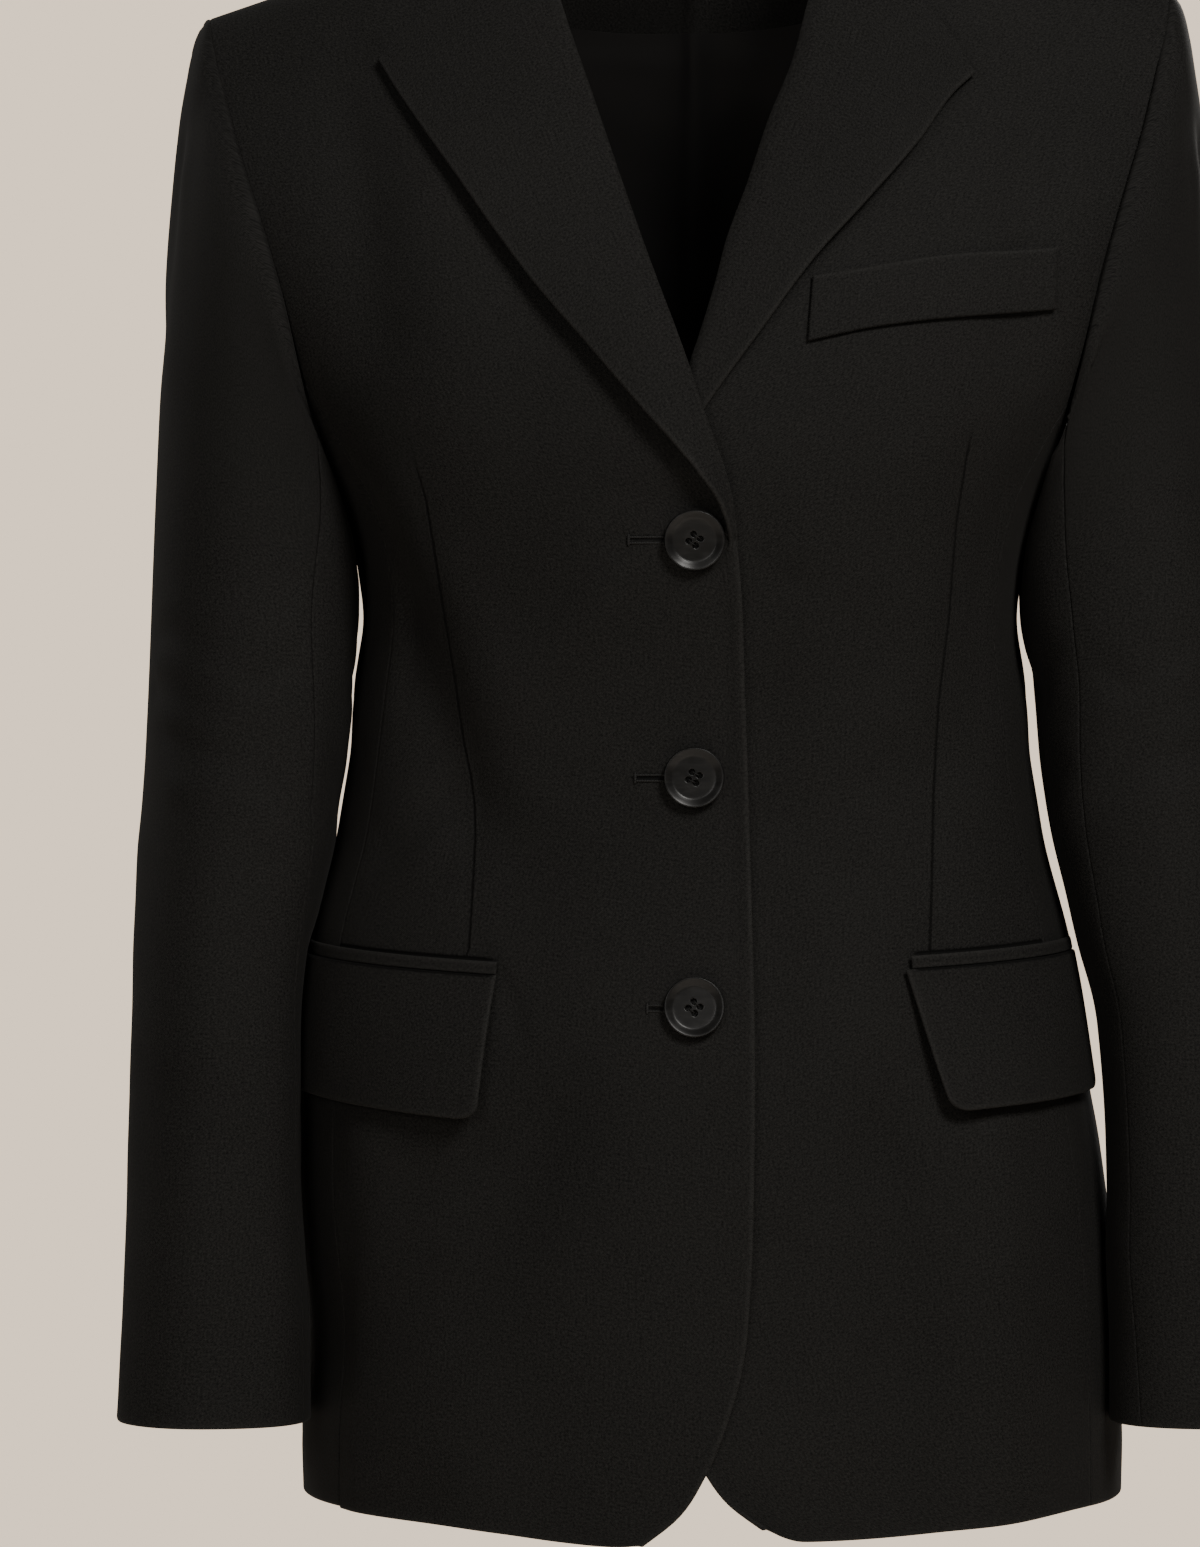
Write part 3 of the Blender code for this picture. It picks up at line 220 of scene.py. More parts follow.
# Collar stations from the gorge to the centre back: x of the neck seam and its level on the
# front (the back's follows the neck), height of the stand, its lean inwards, x and level past
# the ridge (below 0 on the front) of the fall's outer edge.
COLLAR = np.array([
    (64.5, -31, 0.6, 0.5, 123, -13), (69, -18, 8, 3, 121, -8), (74.5, -5, 18, 6, 115, -2),
    (73, 0, 25, 7, 104, 10), (58, 0, 29, 7, 79, 29), (31, 0, 31, 6, 42, 43), (0, 0, 31, 5, 0, 48),
])
STAND_IN = COLLAR_CLOTH + 1.1  # the stand lies this far inside the neck edge
FALL_LIFT = CLOTH + 2.2  # height of the fall's edge over the back
FALL_OVER_RIDGE, RIDGE_REACH = 2.5, 22.0  # more where it crosses the shoulder's ridge
LEFT_SEAM_IN = 4.0  # the neck seam on the wearer's left starts further in
# The collar's roll: two points across its top, outwards from the stand's crest and above it.
ROLL_OUT, ROLL_UP = (1.2, 3.0), (1.6, 0.6)
FALL_OUT, FALL_UP = 1.5, 2.5  # how far the fall bellies out half way down

# Pocket strips: levels of the lower edge at the inner and the outer end, the same for the upper
# edge, x of the inner edge at the bottom and at the top, and how far a flap's corner stands off.
POCKETS = {
    "right": (
        (-468.3, -461, -462.8, -455.5, 83, 83, 0),
        (-530.5, -520, -468.9, -461.5, 90.5, 83, 4.2),
    ),
    "left": (
        (-465.8, -459.5, -460.3, -454, 91.5, 91.5, 0),
        (-528, -520.5, -466.5, -460, 101, 89, 5),
    ),
}
POCKET_END_TURN = 77.0
JET_CLOTH, FLAP_CLOTH, WELT_CLOTH = 1.2, 2.0, 1.8
STRIP_LIFT = 0.8  # space between a strip and the front
FLAP_OFF = 1.2  # how far a flap's lower edge hangs off the front
CORNER_OFF_SHARE = 0.6  # share of its length over which its inner corner stands off
# The breast welt: x, and z of its lower and its upper edge.
BREAST_WELT = np.array([
    (48, -199, -171.5), (74, -193, -167), (98, -189.2, -162.5), (115, -187, -160),
    (140, -184, -157.3), (156, -182, -155.5),
])
WELT_ENDS = np.array([(48, 155), (50.5, 156)])  # x of both ends, at the bottom and the top


def smooth(at, knots, values):
    """A cubic curve through the table's points, its slope there that of the neighbours."""
    knots, values = np.asarray(knots, float), np.asarray(values, float)
    if knots[0] > knots[-1]:
        knots, values = knots[::-1], values[::-1]
    slope = np.gradient(values, knots)
    at = np.clip(np.asarray(at, float), knots[0], knots[-1])
    i = np.clip(np.searchsorted(knots, at, side="right") - 1, 0, len(knots) - 2)
    step = knots[i + 1] - knots[i]
    t = (at - knots[i]) / step
    ends = (1 + 2 * t) * (1 - t) ** 2 * values[i] + t * t * (3 - 2 * t) * values[i + 1]
    return ends + step * t * (1 - t) * ((1 - t) * slope[i] - t * slope[i + 1])


def columns(table, at):
    """Each further column of a table at places of its first, along smooth curves."""
    return [smooth(at, table[:, 0], values) for values in table[:, 1:].T]


def of_side(table, at, side):
    """The same for a table that has one column for the right side and one for the left."""
    return columns(table, at)[side > 0]


def ease(t):
    """A smooth step from 0 to 1."""
    t = np.clip(t, 0.0, 1.0)
    return t * t * (3.0 - 2.0 * t)


def grown(value, start, full):
    """A smooth step from 0 at a start to 1 where it is full."""
    return ease((value - start) / (full - start))


def blend(first, last, share):
    """A share of the way from the first to the last."""
    return first + (last - first) * share


def power(value, exponent):
    """The exponent of a signed number's size, with its sign kept."""
    return np.sign(value) * np.abs(value) ** exponent


def unit(vectors):
    """Vectors cut to a length of 1."""
    return vectors / np.maximum(np.linalg.norm(vectors, axis=-1, keepdims=True), TINY)


def run_along(points, axis=0):
    """Length along a line of points so far, 0 at its first."""
    length = np.cumsum(np.linalg.norm(np.diff(points, axis=axis), axis=-1), axis=axis)
    return np.concatenate([np.zeros_like(length.take([0], axis)), length], axis=axis)


def beside(line, p, q):
    """Run along a straight line, distance off it, its length, and the distance past its ends."""
    p0, q0, p1, q1 = line
    along = np.array((p1 - p0, q1 - q0))
    length = np.linalg.norm(along)
    along /= length
    run = (p - p0) * along[0] + (q - q0) * along[1]
    off = -(p - p0) * along[1] + (q - q0) * along[0]
    return run, off, length, np.maximum(np.maximum(-run, run - length), 0.0)


# The body's form

def tilt(level):
    """How far a ring takes part in the shoulder slope, 0 at the chest and 1 on top."""
    return grown(level, TILT_FROM, 0.0)


def ring_drop(x):
    """How far the shoulder line lies below the neck end at x, rounded at the middle."""
    return SLOPE * (np.hypot(x, SLOPE_ROUND) - math.hypot(NECK_X, SLOPE_ROUND)) - LEAN * x


def folds(x, z):
    """Height of the soft folds at a place of the front: bumps along straight lines."""
    height = np.zeros(np.broadcast(x, z).shape)
    for *line, width, depth in FOLDS:
        _, off, _, past = beside(line, x, z)
        height += depth * np.exp(-((off / width) ** 2) - (past / (FOLD_TAPER * width)) ** 2)
    return height


def bare(turn, level):
    """The form itself: x, y and z at a turn in degrees and a level."""
    half, shift, front, back = columns(BODY, level)
    sine, cosine = np.sin(np.radians(turn)), np.cos(np.radians(turn))
    closing = np.sqrt(np.clip(1.0 - (1.0 - np.clip(-level / RIDGE, 0.0, 1.0)) ** 2, 0.0, 1.0))
    x = (half - CLOTH) * power(sine, 2.0 / SQUARE) + shift
    depth = (np.where(cosine > 0.0, front, back) - CLOTH) * closing
    y = MIDDLE - depth * power(cosine, 2.0 / SQUARE)
    return np.stack(np.broadcast_arrays(x, y, level - tilt(level) * ring_drop(x)), axis=-1)


def outward(turn, level):
    """The form's unit normal, from the steps to its neighbours."""
    level = np.minimum(level, NORMAL_TOP)
    round_it = bare(turn + TURN_STEP, level) - bare(turn - TURN_STEP, level)
    up_it = bare(turn, np.minimum(level + LEVEL_STEP, STEP_TOP)) - bare(turn, level - LEVEL_STEP)
    return unit(np.cross(round_it, up_it))


def on_body(turn, level, lift=0.0):
    """A point of the dressed form, lifted along its normal."""
    turn, level = np.broadcast_arrays(np.asarray(turn, float), np.asarray(level, float))
    point = bare(turn, level)
    fold = folds(point[..., 0], point[..., 2]) * (np.abs(turn) < 90.0) * ease(-level / FOLDS_END)
    return point + outward(turn, level) * (fold + lift)[..., None]


def turn_at(x, level, behind):
    """Turn of a ring's point at x, on its front or its back half."""
    half, shift = columns(BODY[:, :3], level)
    share = np.clip((x - shift) / (half - CLOTH), -1.0, 1.0)
    turn = np.degrees(np.arcsin(power(share, SQUARE / 2.0)))
    return np.where(behind, np.where(turn < 0.0, -180.0, 180.0) - turn, turn)


def place(x, z, behind=False):
    """The turn and level of the form's point that is seen at x and z from the front."""
    x, z = np.asarray(x, float), np.asarray(z, float)
    level = z + 0.0
    for _ in range(RISE_ROUNDS):
        level = np.clip(z + tilt(level) * ring_drop(x), None, PLACE_TOP)
    return turn_at(x, level, behind), level


def lapping(x, z):
    """Lift of the lapping front over the pieces below it: one front, and the other lapel."""
    over_front = grown(x, *LAP_X) * grown(z, *LAP_Z)
    over_lapel = grown(x, *LAPEL_X) * grown(z, *LAPEL_Z) * grown(z, *LAPEL_ENDS_Z)
    return LAP_LIFT * over_front + LAPEL_LIFT * over_lapel


def spaced(knots, share):
    """The value at a share of the way through a list of knots."""
    return np.interp(share, np.linspace(0.0, 1.0, len(knots)), knots)


def row_levels(lowest, corner):
    """Levels of a panel's rows: closer where the side flares and the shoulder rounds over.

    One row is at the corner between the side seam and the armhole.
    """
    low = np.linspace(lowest, WAIST, SKIRT_ROWS + 1)
    flare = np.linspace(WAIST, corner, FLARE_ROWS + 1)[1:]
    chest = np.linspace(corner, -RIDGE, CHEST_ROWS + 1)[1:]
    over = RIDGE * (np.cos(np.radians(OVER_ANGLES)) - 1.0)
    return np.concatenate([low, flare, chest, over])


def seam_corner(side, behind):
    """Level at which a side seam meets the armhole."""
    levels, turns = armhole_edge(side, behind)
    seam = SIDE_BACK_TURN if behind else SIDE_FRONT_TURN
    order = np.argsort(np.abs(turns))
    return float(np.interp(seam, np.abs(turns)[order], levels[order]))


def centre_turn(level, x):
    """Turn, less a half circle, of the back at x from the middle line."""
    half = smooth(level, BODY[:, 0], BODY[:, 1]) - CLOTH
    return np.degrees(np.arcsin((x / half) ** (SQUARE / 2.0)))


def neck_level(x):
    """Level of the neck seam on the back, from the shoulder seam to the centre back."""
    return -NECK_DIP * np.clip(1.0 - (x / NECK_X) ** 2, 0.0, 1.0)


# Body panels

def armhole_edge(side, behind):
    """Level and turn of the armhole's front or back edge, as two arrays from low to high."""
    table = ARMHOLE_BACK if behind else ARMHOLE_FRONT
    x, z = columns(table, np.linspace(table[0, 0], table[-1, 0], ARMHOLE_STEPS))
    x = side * x
    z = z + LEAN * x
    turn, level = place(x, np.where(np.abs(x) > SHOULDER_X - SEAM, z - SEAM, z), behind)
    order = np.argsort(level)
    return level[order], turn[order]


def side_edge(side, behind, level):
    """Turn of a panel's outer edge: the side seam, and above it the armhole."""
    seam, outer = (SIDE_BACK_TURN, np.maximum) if behind else (SIDE_FRONT_TURN, np.minimum)
    levels, turns = armhole_edge(side, behind)
    hole = np.abs(np.interp(level, levels, turns))
    return side * np.where(level > levels[0], outer(seam, hole), seam)


def front_inner_x(side, z):
    """x of a front's inner edge: the front edge, then the roll line, then the neck."""
    edge, roll = (EDGE_RIGHT, ROLL_RIGHT) if side < 0 else (EDGE_LEFT, ROLL_LEFT)
    below, above = (smooth(z, *line.T[::-1]) for line in (edge, roll))
    top = roll[-1]
    neck = top[0] + (side * (NECK_X - NECK_SHORT) - top[0]) * (z - top[1]) / -top[1]
    return np.where(z > top[1], neck, np.where(z < edge[0, 1], below, above))


def hem_z(x, side):
    """A front's hem, lowest near the centre and rising a little to the side."""
    return of_side(HEM_LINE, np.abs(x - HEM_MIDDLE_X), side)


def front_point(side):
    """A front's surface: u from its outer edge at -X towards +X, v from the hem upwards."""
    lowest = (EDGE_RIGHT if side < 0 else EDGE_LEFT)[-1, 1]

    def point(u, v):
        level = spaced(row_levels(lowest, seam_corner(side, False)), v)
        outer = side_edge(side, False, level)
        z = level.copy()
        for _ in range(RISE_ROUNDS):
            x = front_inner_x(side, z)
            z = level - tilt(level) * ring_drop(x)
        across = 1.0 - u if side < 0 else u
        turn = blend(place(x, z)[0], outer, across)
        spot = bare(turn, level)
        hem = np.where(across > 0.0, hem_z(spot[:, 0], side), lowest)
        corner = np.sin(math.pi / 2.0 * np.clip(across / HEM_CORNER_SHARE, 0.0, 1.0))
        level = level + (hem - lowest) * ease(1.0 - v / HEM_ROWS_SHARE) * corner
        lift = lapping(spot[:, 0], spot[:, 2]) if side < 0 else 0.0
        return on_body(turn, level, lift)

    return point


def side_panel_point(side):
    """A side panel: u round from front to back, v from the hem to the armhole's bottom."""
    space = math.degrees(2.0 * SEAM / HIP_HALF)
    rows = row_levels(HEM, seam_corner(side, False))[: SKIRT_ROWS + FLARE_ROWS + 1]

    def point(u, v):
        turn = blend(SIDE_FRONT_TURN + space, SIDE_BACK_TURN - space, u if side > 0 else 1.0 - u)
        front_levels, front_turns = armhole_edge(side, False)
        back_levels, back_turns = armhole_edge(side, True)
        front_top = np.interp(turn, np.abs(front_turns[::-1]), front_levels[::-1])
        back_top = np.interp(turn, np.abs(back_turns), back_levels)
        top = np.where(turn < 90.0, front_top, back_top)
        level = spaced(rows, v)
        above = np.clip((level - WAIST) / (rows[-1] - WAIST), 0.0, 1.0)
        return on_body(side * turn, level + (top - rows[-1]) * above)

    return point


def back_point(side):
    """A back: u round from the side seam to the centre back, v from the hem to the shoulder."""
    shoulder_share = SHOULDER_COLUMNS / (SHOULDER_COLUMNS + NECK_COLUMNS)

    def point(u, v):
        across = u if side > 0 else 1.0 - u
        level = spaced(row_levels(HEM, seam_corner(side, True)), v)
        outer = np.abs(side_edge(side, True, level))
        centre = 180.0 - centre_turn(level, SEAM / 2.0)
        neck = 180.0 - centre_turn(level, NECK_X)
        on_shoulder = outer + (neck - outer) * across / shoulder_share
        on_neck = neck + (centre - neck) * (across - shoulder_share) / (1.0 - shoulder_share)
        split = np.where(across < shoulder_share, on_shoulder, on_neck)
        turn = blend(blend(outer, centre, across), split, grown(level, COLUMNS_EVEN, 0.0))
        x = np.abs(bare(side * turn, level)[:, 0])
        return on_body(side * turn, level + neck_level(x) * grown(level, NECK_BENDS, 0.0))

    return point


# Lapels and collar

BREAK_WIDTH = 42.0  # where a lapel is narrower than this its roll is smaller too
GORGE_SHARE = 0.2  # the top part of a lapel whose rows bend to the gorge
BOWED_FROM, BOWED_OVER = 0.1, 0.3  # where along a lapel its roll gets its full height
# How far a brim stands off the chest: share of the way up, on the right and on the left.
STAND_OFF = np.array([
    (0, 0, 0), (0.03, 1.5, 0), (0.06, 3.8, 0), (0.11, 6.4, 0.3), (0.17, 7, 0.9), (0.25, 6, 2),
    (0.38, 4.8, 3.2), (0.55, 4.4, 3.4), (0.78, 4.4, 2.8), (1, 0, 0),
])
PRESSED = CLOTH + 0.9  # height of a lapel near its break
# A section across a lapel: distance from the roll line as a fixed part and as a share of the
# width, and height over the front's inner face at the roll.
LAPEL_SECTION = np.array([
    (-1.7, 0, 0), (-1.7, 0, 1.2), (0.9, 0, CLOTH + 0.9), (6, 0, CLOTH + 1.6),
    (0, 0.3, CLOTH + 2.2), (0, 0.55, CLOTH + 2.6), (0, 0.8, CLOTH + 2.6), (0, 1, CLOTH + 2),
])
END_SINK, END_SHARE = 2.4, 0.045  # the lapel's lower end sinks into the front's edge
TAIL_IN, TAIL_SHARE = 3.0, 0.16  # and the right one closes in to that edge
# It runs out along the edge: roll and brim below their tables' first rows.
ROLL_END, BRIM_END = (18.4, -289.0), np.array([(17.6, -287.0), (15.2, -276.0), (12.6, -270.0)])
ROLL_START, ROLL_SPAN, ROLL_STEP = 0.005, 0.993, 0.005  # the part of the roll line in use
PRESSED_KNOTS = 2.0  # the section's first knots keep their height all along
GORGE_ROWS = (0, 1, 2, 3, 5)  # knots that the collar's end follows to the notch
GORGE_GAP, GORGE_BELOW = 1.1, 0.97
END_STATIONS = 1.5  # the collar takes up its end over so many of its stations
LEAF_LIFT = CLOTH + 3.2


def through(rows, share):
    """A cubic curve through each place's own row of values, at its own share of the way.

    Between two knots it is the sum of both values and both slopes, each times the usual cubic
    weight, and a knot's slope is half the step between its neighbours.
    """
    slope = np.gradient(rows, axis=1)
    at = share * (rows.shape[1] - 1)
    first = np.clip(at.astype(int), 0, rows.shape[1] - 2)
    index = np.arange(len(share))
    t = (at - first).reshape(-1, *[1] * (rows.ndim - 2))
    ends = (1 + 2 * t) * (1 - t) ** 2 * rows[index, first]
    ends = ends + t * t * (3 - 2 * t) * rows[index, first + 1]
    return ends + t * (1 - t) * ((1 - t) * slope[index, first] - t * slope[index, first + 1])


def along_line(table, share):
    """x and z at a share of the length of a line drawn from the front."""
    length = run_along(table)
    return np.array([smooth(share * length[-1], length, values) for values in table.T])


def lapel_point(side):
    """A lapel: u from the roll line out to the brim, v from the break up to the gorge.

    Seen from the front a section leaves the roll line squarely and bends to its brim: a share
    of the way times the rest, along the square, plus the share's square times the chord.
    """
    if side < 0:
        roll, brim = np.vstack([ROLL_END, ROLL_RIGHT]), np.vstack([BRIM_END, BRIM_RIGHT[1:]])
    else:
        roll, brim = ROLL_LEFT[1:], BRIM_LEFT
    notch = NOTCH_RIGHT if side < 0 else NOTCH_LEFT
    to_notch = (np.array(notch) - (roll[-1] + brim[-1]) / 2.0)[:, None]

    def point(u, v):
        start = along_line(roll, ROLL_START + ROLL_SPAN * v)
        chord = along_line(brim, v) - start
        ahead = along_line(roll, ROLL_START + ROLL_STEP + ROLL_SPAN * v) - start
        square = side * np.array((ahead[1], -ahead[0])) / np.hypot(*ahead)
        width = np.hypot(*chord)
        fixed, shares, heights = LAPEL_SECTION.T
        narrow = np.minimum(1.0, width / BREAK_WIDTH)[:, None]
        knots = np.where(fixed > 0.0, fixed * narrow, fixed) + shares * width[:, None]
        away = through(knots, u)
        off = through(np.broadcast_to(heights, knots.shape), u)
        share = np.clip(away / width, 0.0, 1.0)
        spot = start + chord * share**2 + square * away * (1.0 - share)
        spot[0] -= (side < 0) * TAIL_IN * ease(1.0 - v / TAIL_SHARE)
        middle = 1.0 - np.abs(2.0 * share - 1.0)
        x, z = spot + to_notch * (middle * ease((v - 1.0 + GORGE_SHARE) / GORGE_SHARE))
        rising = ease((v - BOWED_FROM) / BOWED_OVER)
        off = np.where(u * (len(shares) - 1) > PRESSED_KNOTS, blend(PRESSED, off, rising), off)
        off = off - END_SINK * ease(1.0 - v / END_SHARE) + of_side(STAND_OFF, v, side) * share
        return on_body(*place(x, z), off + (lapping(x, z) if side < 0 else 0.0))

    return point


def past_ridge(x, over):
    """Turn and level of a place on the shoulder: over is the level past the ridge, back +."""
    level = -np.maximum(np.abs(over), RIDGE_GAP)
    return turn_at(x, level, over > 0.0), level


def collar_end(side):
    """The collar's end along the gorge, row by row: just above the lapel's top edge as far as
    the notch, and then out to the leaf's corner."""
    section = np.array(GORGE_ROWS) / (len(LAPEL_SECTION) - 1.0)
    top, below = (lapel_point(side)(section, np.full(len(section), v)) for v in (1.0, GORGE_BELOW))
    leaf = on_body(*place(*(LEAF_RIGHT if side < 0 else LEAF_LEFT)), LEAF_LIFT)
    return np.concatenate([top + unit(top - below) * GORGE_GAP, leaf[None]])


def collar_point(u, v):
    """The collar: u from one gorge round the back to the other, v from the neck seam over the
    fold down to the outer edge, through the rows of the stand, the crest and the fall."""
    side = np.where(u < 0.5, -1.0, 1.0)
    station = 1.0 - np.abs(2.0 * u - 1.0)
    knots = np.linspace(0.0, 1.0, len(COLLAR))
    seam_x, seam_over, stand, lean, edge_x, edge_over = (
        smooth(station, knots, values) for values in COLLAR.T
    )
    seam_over = np.where(station > knots[2], -neck_level(seam_x), seam_over)
    seam_x = seam_x - np.where(side > 0.0, LEFT_SEAM_IN, 0.0) * ease(1.0 - station / knots[2])
    seam = on_body(*past_ridge(side * seam_x, seam_over), 0.0)
    over_top = FALL_OVER_RIDGE * ease(1.0 - np.abs(edge_over) / RIDGE_REACH)
    edge = on_body(*past_ridge(side * edge_x, edge_over), FALL_LIFT + over_top)
    up = np.array((0.0, 0.0, 1.0))
    inward = unit(-seam * np.array((1.0, 1.0, 0.0)))
    low = seam + inward * STAND_IN
    crest = low + up * stand[:, None] + inward * lean[:, None]
    top, outer = (crest + up * rise - inward * out for out, rise in zip(ROLL_OUT, ROLL_UP))
    fall = (outer + edge) / 2.0 - inward * FALL_OUT + up * FALL_UP
    rows = np.stack([low, crest, top, outer, fall, edge], axis=1)
    ends = np.where((side < 0.0)[:, None, None], collar_end(-1), collar_end(1))
    at_end = ease(1.0 - station / (END_STATIONS * knots[1]))[:, None, None]
    return through(rows * (1.0 - at_end) + ends * at_end, v)


# Sleeves

def body_side(y, z, side):
    """How far out the body's side, or the flap on it, is at a depth and a height."""
    half, shift, front, behind = columns(BODY, z)
    depth = np.where(y < MIDDLE, front, behind)
    inside = np.clip(1.0 - np.abs((y - MIDDLE) / depth) ** SQUARE, 0.0, 1.0)
    beside_flap = ease((z - FLAP_LOW) / FLAP_EASE) * ease((FLAP_HIGH - z) / FLAP_EASE) * (side < 0)
    body = half * inside ** (1.0 / SQUARE) + side * shift + CLOTH
    return body + FLAP_CLEAR * beside_flap


def softly_above(value, softness):
    """A value that is kept above 0, with its turn there rounded."""
    return (value + np.sqrt(value * value + softness)) / 2.0


def drawn_in(points, turn, v, side):
    """A sleeve whose inner side hangs against the body: its distance less the draw of its height,
    and never under a hair's breadth."""
    x, y, z = side * points[:, 0], points[:, 1], points[:, 2]
    room = x - body_side(y, z, side) - HAIR
    draw = of_side(DRAWN_IN, z, side) * ease(-np.cos(np.radians(turn)) / DRAWN_ROUND)
    draw = draw * ease((DRAWN_TO - v) / DRAWN_FADE)
    left = np.minimum(room, softly_above(room - draw, 1.0))
    return np.stack([side * (x - room + left), y, z], axis=-1)


def arm_ring(turn, z, side):
    """A ring of the hanging sleeve: turn 0 is its outer side, 90 its front."""
    middle_x, middle_y, wide, deep, yaw, swing = columns(ARM, z)
    swing = np.where(side > 0, swing, 0.0)
    across = (wide - CLOTH) * power(np.cos(np.radians(turn)), 2.0 / ARM_SQUARE)
    back = -(deep - CLOTH) * power(np.sin(np.radians(turn)), 2.0 / ARM_SQUARE)
    yaw = np.radians(yaw)
    x = middle_x + swing + across * np.cos(yaw) + back * np.sin(yaw)
    y = middle_y - across * np.sin(yaw) + back * np.cos(yaw)
    body = body_side(y, z, side) + ARM_CLEAR
    return np.stack([side * (body + softly_above(x - body, CLEAR_SOFTNESS)), y, z], axis=-1)


def armhole_point(turn, side, lift):
    """The armhole's edge at a turn round it, lifted off the body's inner face."""
    turn = np.mod(turn, 360.0)
    behind = turn > 180.0
    both = zip(columns(ARMHOLE_FRONT, turn), columns(ARMHOLE_BACK, turn))
    x, z = (np.where(behind, back, front) for front, back in both)
    return on_body(*place(side * x, z + LEAN * (side * x), behind), lift)


def sleeve_point(turn, v, side):
    """A sleeve's surface: v 0 at the cuff, 1 at the armhole.

    Up to BICEP it is the hanging arm's rings. Above, each line along the sleeve is a Bezier
    curve from the ring to the armhole, leaving the armhole outwards and turning down.
    """
    low = np.clip(v / BICEP_SHARE, 0.0, 1.0)
    high = np.clip((v - BICEP_SHARE) / (1.0 - BICEP_SHARE), 0.0, 1.0)[:, None]
    hanging = arm_ring(turn, blend(CUFF, BICEP, low), side)
    start = arm_ring(turn, np.full_like(v, BICEP), side)
    rise = unit(start - arm_ring(turn, np.full_like(v, BICEP - HEAD_REACH), side))
    cosine, sine = np.cos(np.radians(turn)), np.sin(np.radians(turn))
    beside_top = ease((1.0 - cosine) / LEAVE_OUT[0])
    end = armhole_point(turn, side, beside_top * (HEAD_LIFT + UNDER_LIFT * (1.0 - cosine) ** 3))
    end[:, 0] += side * HEAD_OUT * (1.0 - beside_top)
    leave = unit(np.stack([
        side * (LEAVE_OUT[0] + LEAVE_OUT[1] * cosine),
        -LEAVE_FRONT * sine,
        -LEAVE_DOWN[0] - LEAVE_DOWN[1] * cosine,
    ], axis=-1))
    span = np.linalg.norm(end - start, axis=-1, keepdims=True)
    reach = (HEAD_REACH + HEAD_REACH_FRONT * sine**2)[:, None]
    first = start + rise * span * (ARM_REACH + ARM_REACH_OUT * cosine)[:, None]
    second = end + leave * (reach * np.minimum(1.0, span / HEAD_FULL_SPAN))
    curve = (
        start * (1 - high) ** 3 + 3 * first * high * (1 - high) ** 2
        + 3 * second * high**2 * (1 - high) + end * high**3
    )
    return drawn_in(np.where((v < BICEP_SHARE)[:, None], hanging, curve), turn, v, side)


def sleeve_half(side, kind):
    """The top sleeve, from the hind seam over the outer side to the front seam, or the under
    sleeve, from there round the inner side to the hind seam."""
    def point(u, v):
        seam = of_side(SLEEVE_SEAMS, v, side)
        space = SLEEVE_SEAM[0] + SLEEVE_SEAM[1] * v
        top = HIND_SEAM - 360.0 + space, seam - space
        first, last = top if kind == "top" else (seam, HIND_SEAM)
        return sleeve_point(blend(first, last, u), v, side)

    return point


# Pockets

def round_corner(across, up, size):
    """Shares of a flap's length and height, with the square at its corner turned to a quarter
    circle."""
    a = np.clip(1.0 - across * FLAP_LENGTH / size, 0.0, 1.0)
    b = np.clip(1.0 - up * FLAP_HEIGHT / size, 0.0, 1.0)
    kept = np.maximum(a, b) / np.maximum(np.hypot(a, b), TINY)
    cut = np.where((a > 0.0) & (b > 0.0), (1.0 - kept) * size, 0.0)
    return across + a * cut / FLAP_LENGTH, up + b * cut / FLAP_HEIGHT


def strip_point(side, strip):
    """A jet or a flap: u along the pocket, v up, a flap's inner corner standing off the front.

    Its lower corners are quarter circles: within a corner's square, a place's offset from the
    circle's middle shrinks by the larger of its two parts over its length.
    """
    low_in, low_out, high_in, high_out, x_low, x_high, corner_off = strip

    def point(u, v):
        across = u if side > 0 else 1.0 - u
        if corner_off:
            across, v = round_corner(across, v, CORNER_INNER)
            mirrored, v = round_corner(1.0 - across, v, CORNER_OUTER)
            across = 1.0 - mirrored
        start, _ = place(side * blend(x_low, x_high, v), np.full_like(v, high_out))
        low, high = blend(low_in, low_out, across), blend(high_in, high_out, across)
        lift = CLOTH + STRIP_LIFT + 0.0 * v
        if corner_off:
            near = ease(1.0 - across / CORNER_OFF_SHARE)
            lift = lift + (1.0 - v) * blend(FLAP_OFF, corner_off, near)
        return on_body(blend(start, side * POCKET_END_TURN, across), blend(low, high, v), lift)

    return point


def breast_welt_point(u, v):
    """The breast welt, a slightly bowed strip that rises towards the armhole."""
    x = blend(*(blend(*ends, v) for ends in WELT_ENDS.T), u)
    low, high = columns(BREAST_WELT, x)
    return on_body(*place(x, blend(low, high, v)), CLOTH + STRIP_LIFT)


def dressed_front(x, z):
    """A point on the outer face of the lapping front."""
    return on_body(*place(x, z), lapping(x, z) + CLOTH)


# What only the looks have: creases, darts, lining and sewing

CORNER_INNER, CORNER_OUTER = 6.0, 5.0  # radius of a flap's lower corners
FLAP_LENGTH, FLAP_HEIGHT = 84.0, 58.0
RIM = (0.0, 0.12, 0.35, 0.7, 1.15, 1.8)  # close steps of a grid near its edges
DENSE = 801  # places that measure a surface's middle line
SEAM_REACH = 0.3  # cloth beyond the solid's edge, so that two pieces meet in their seam
HEAD_REACH_IN = 1.5  # a sleeve's top goes this far into its armhole
SEAM_ROUND, EDGE_ROUND = 1.3, 1.5  # rounding of a sewn and of a free edge
EDGE_HIGHLIGHT_WIDTH = 1.5  # width of the painted highlight along a free edge, a paler line in the wool's colour
EDGE_FADE = 14.0  # creases fade out towards a seam over this distance
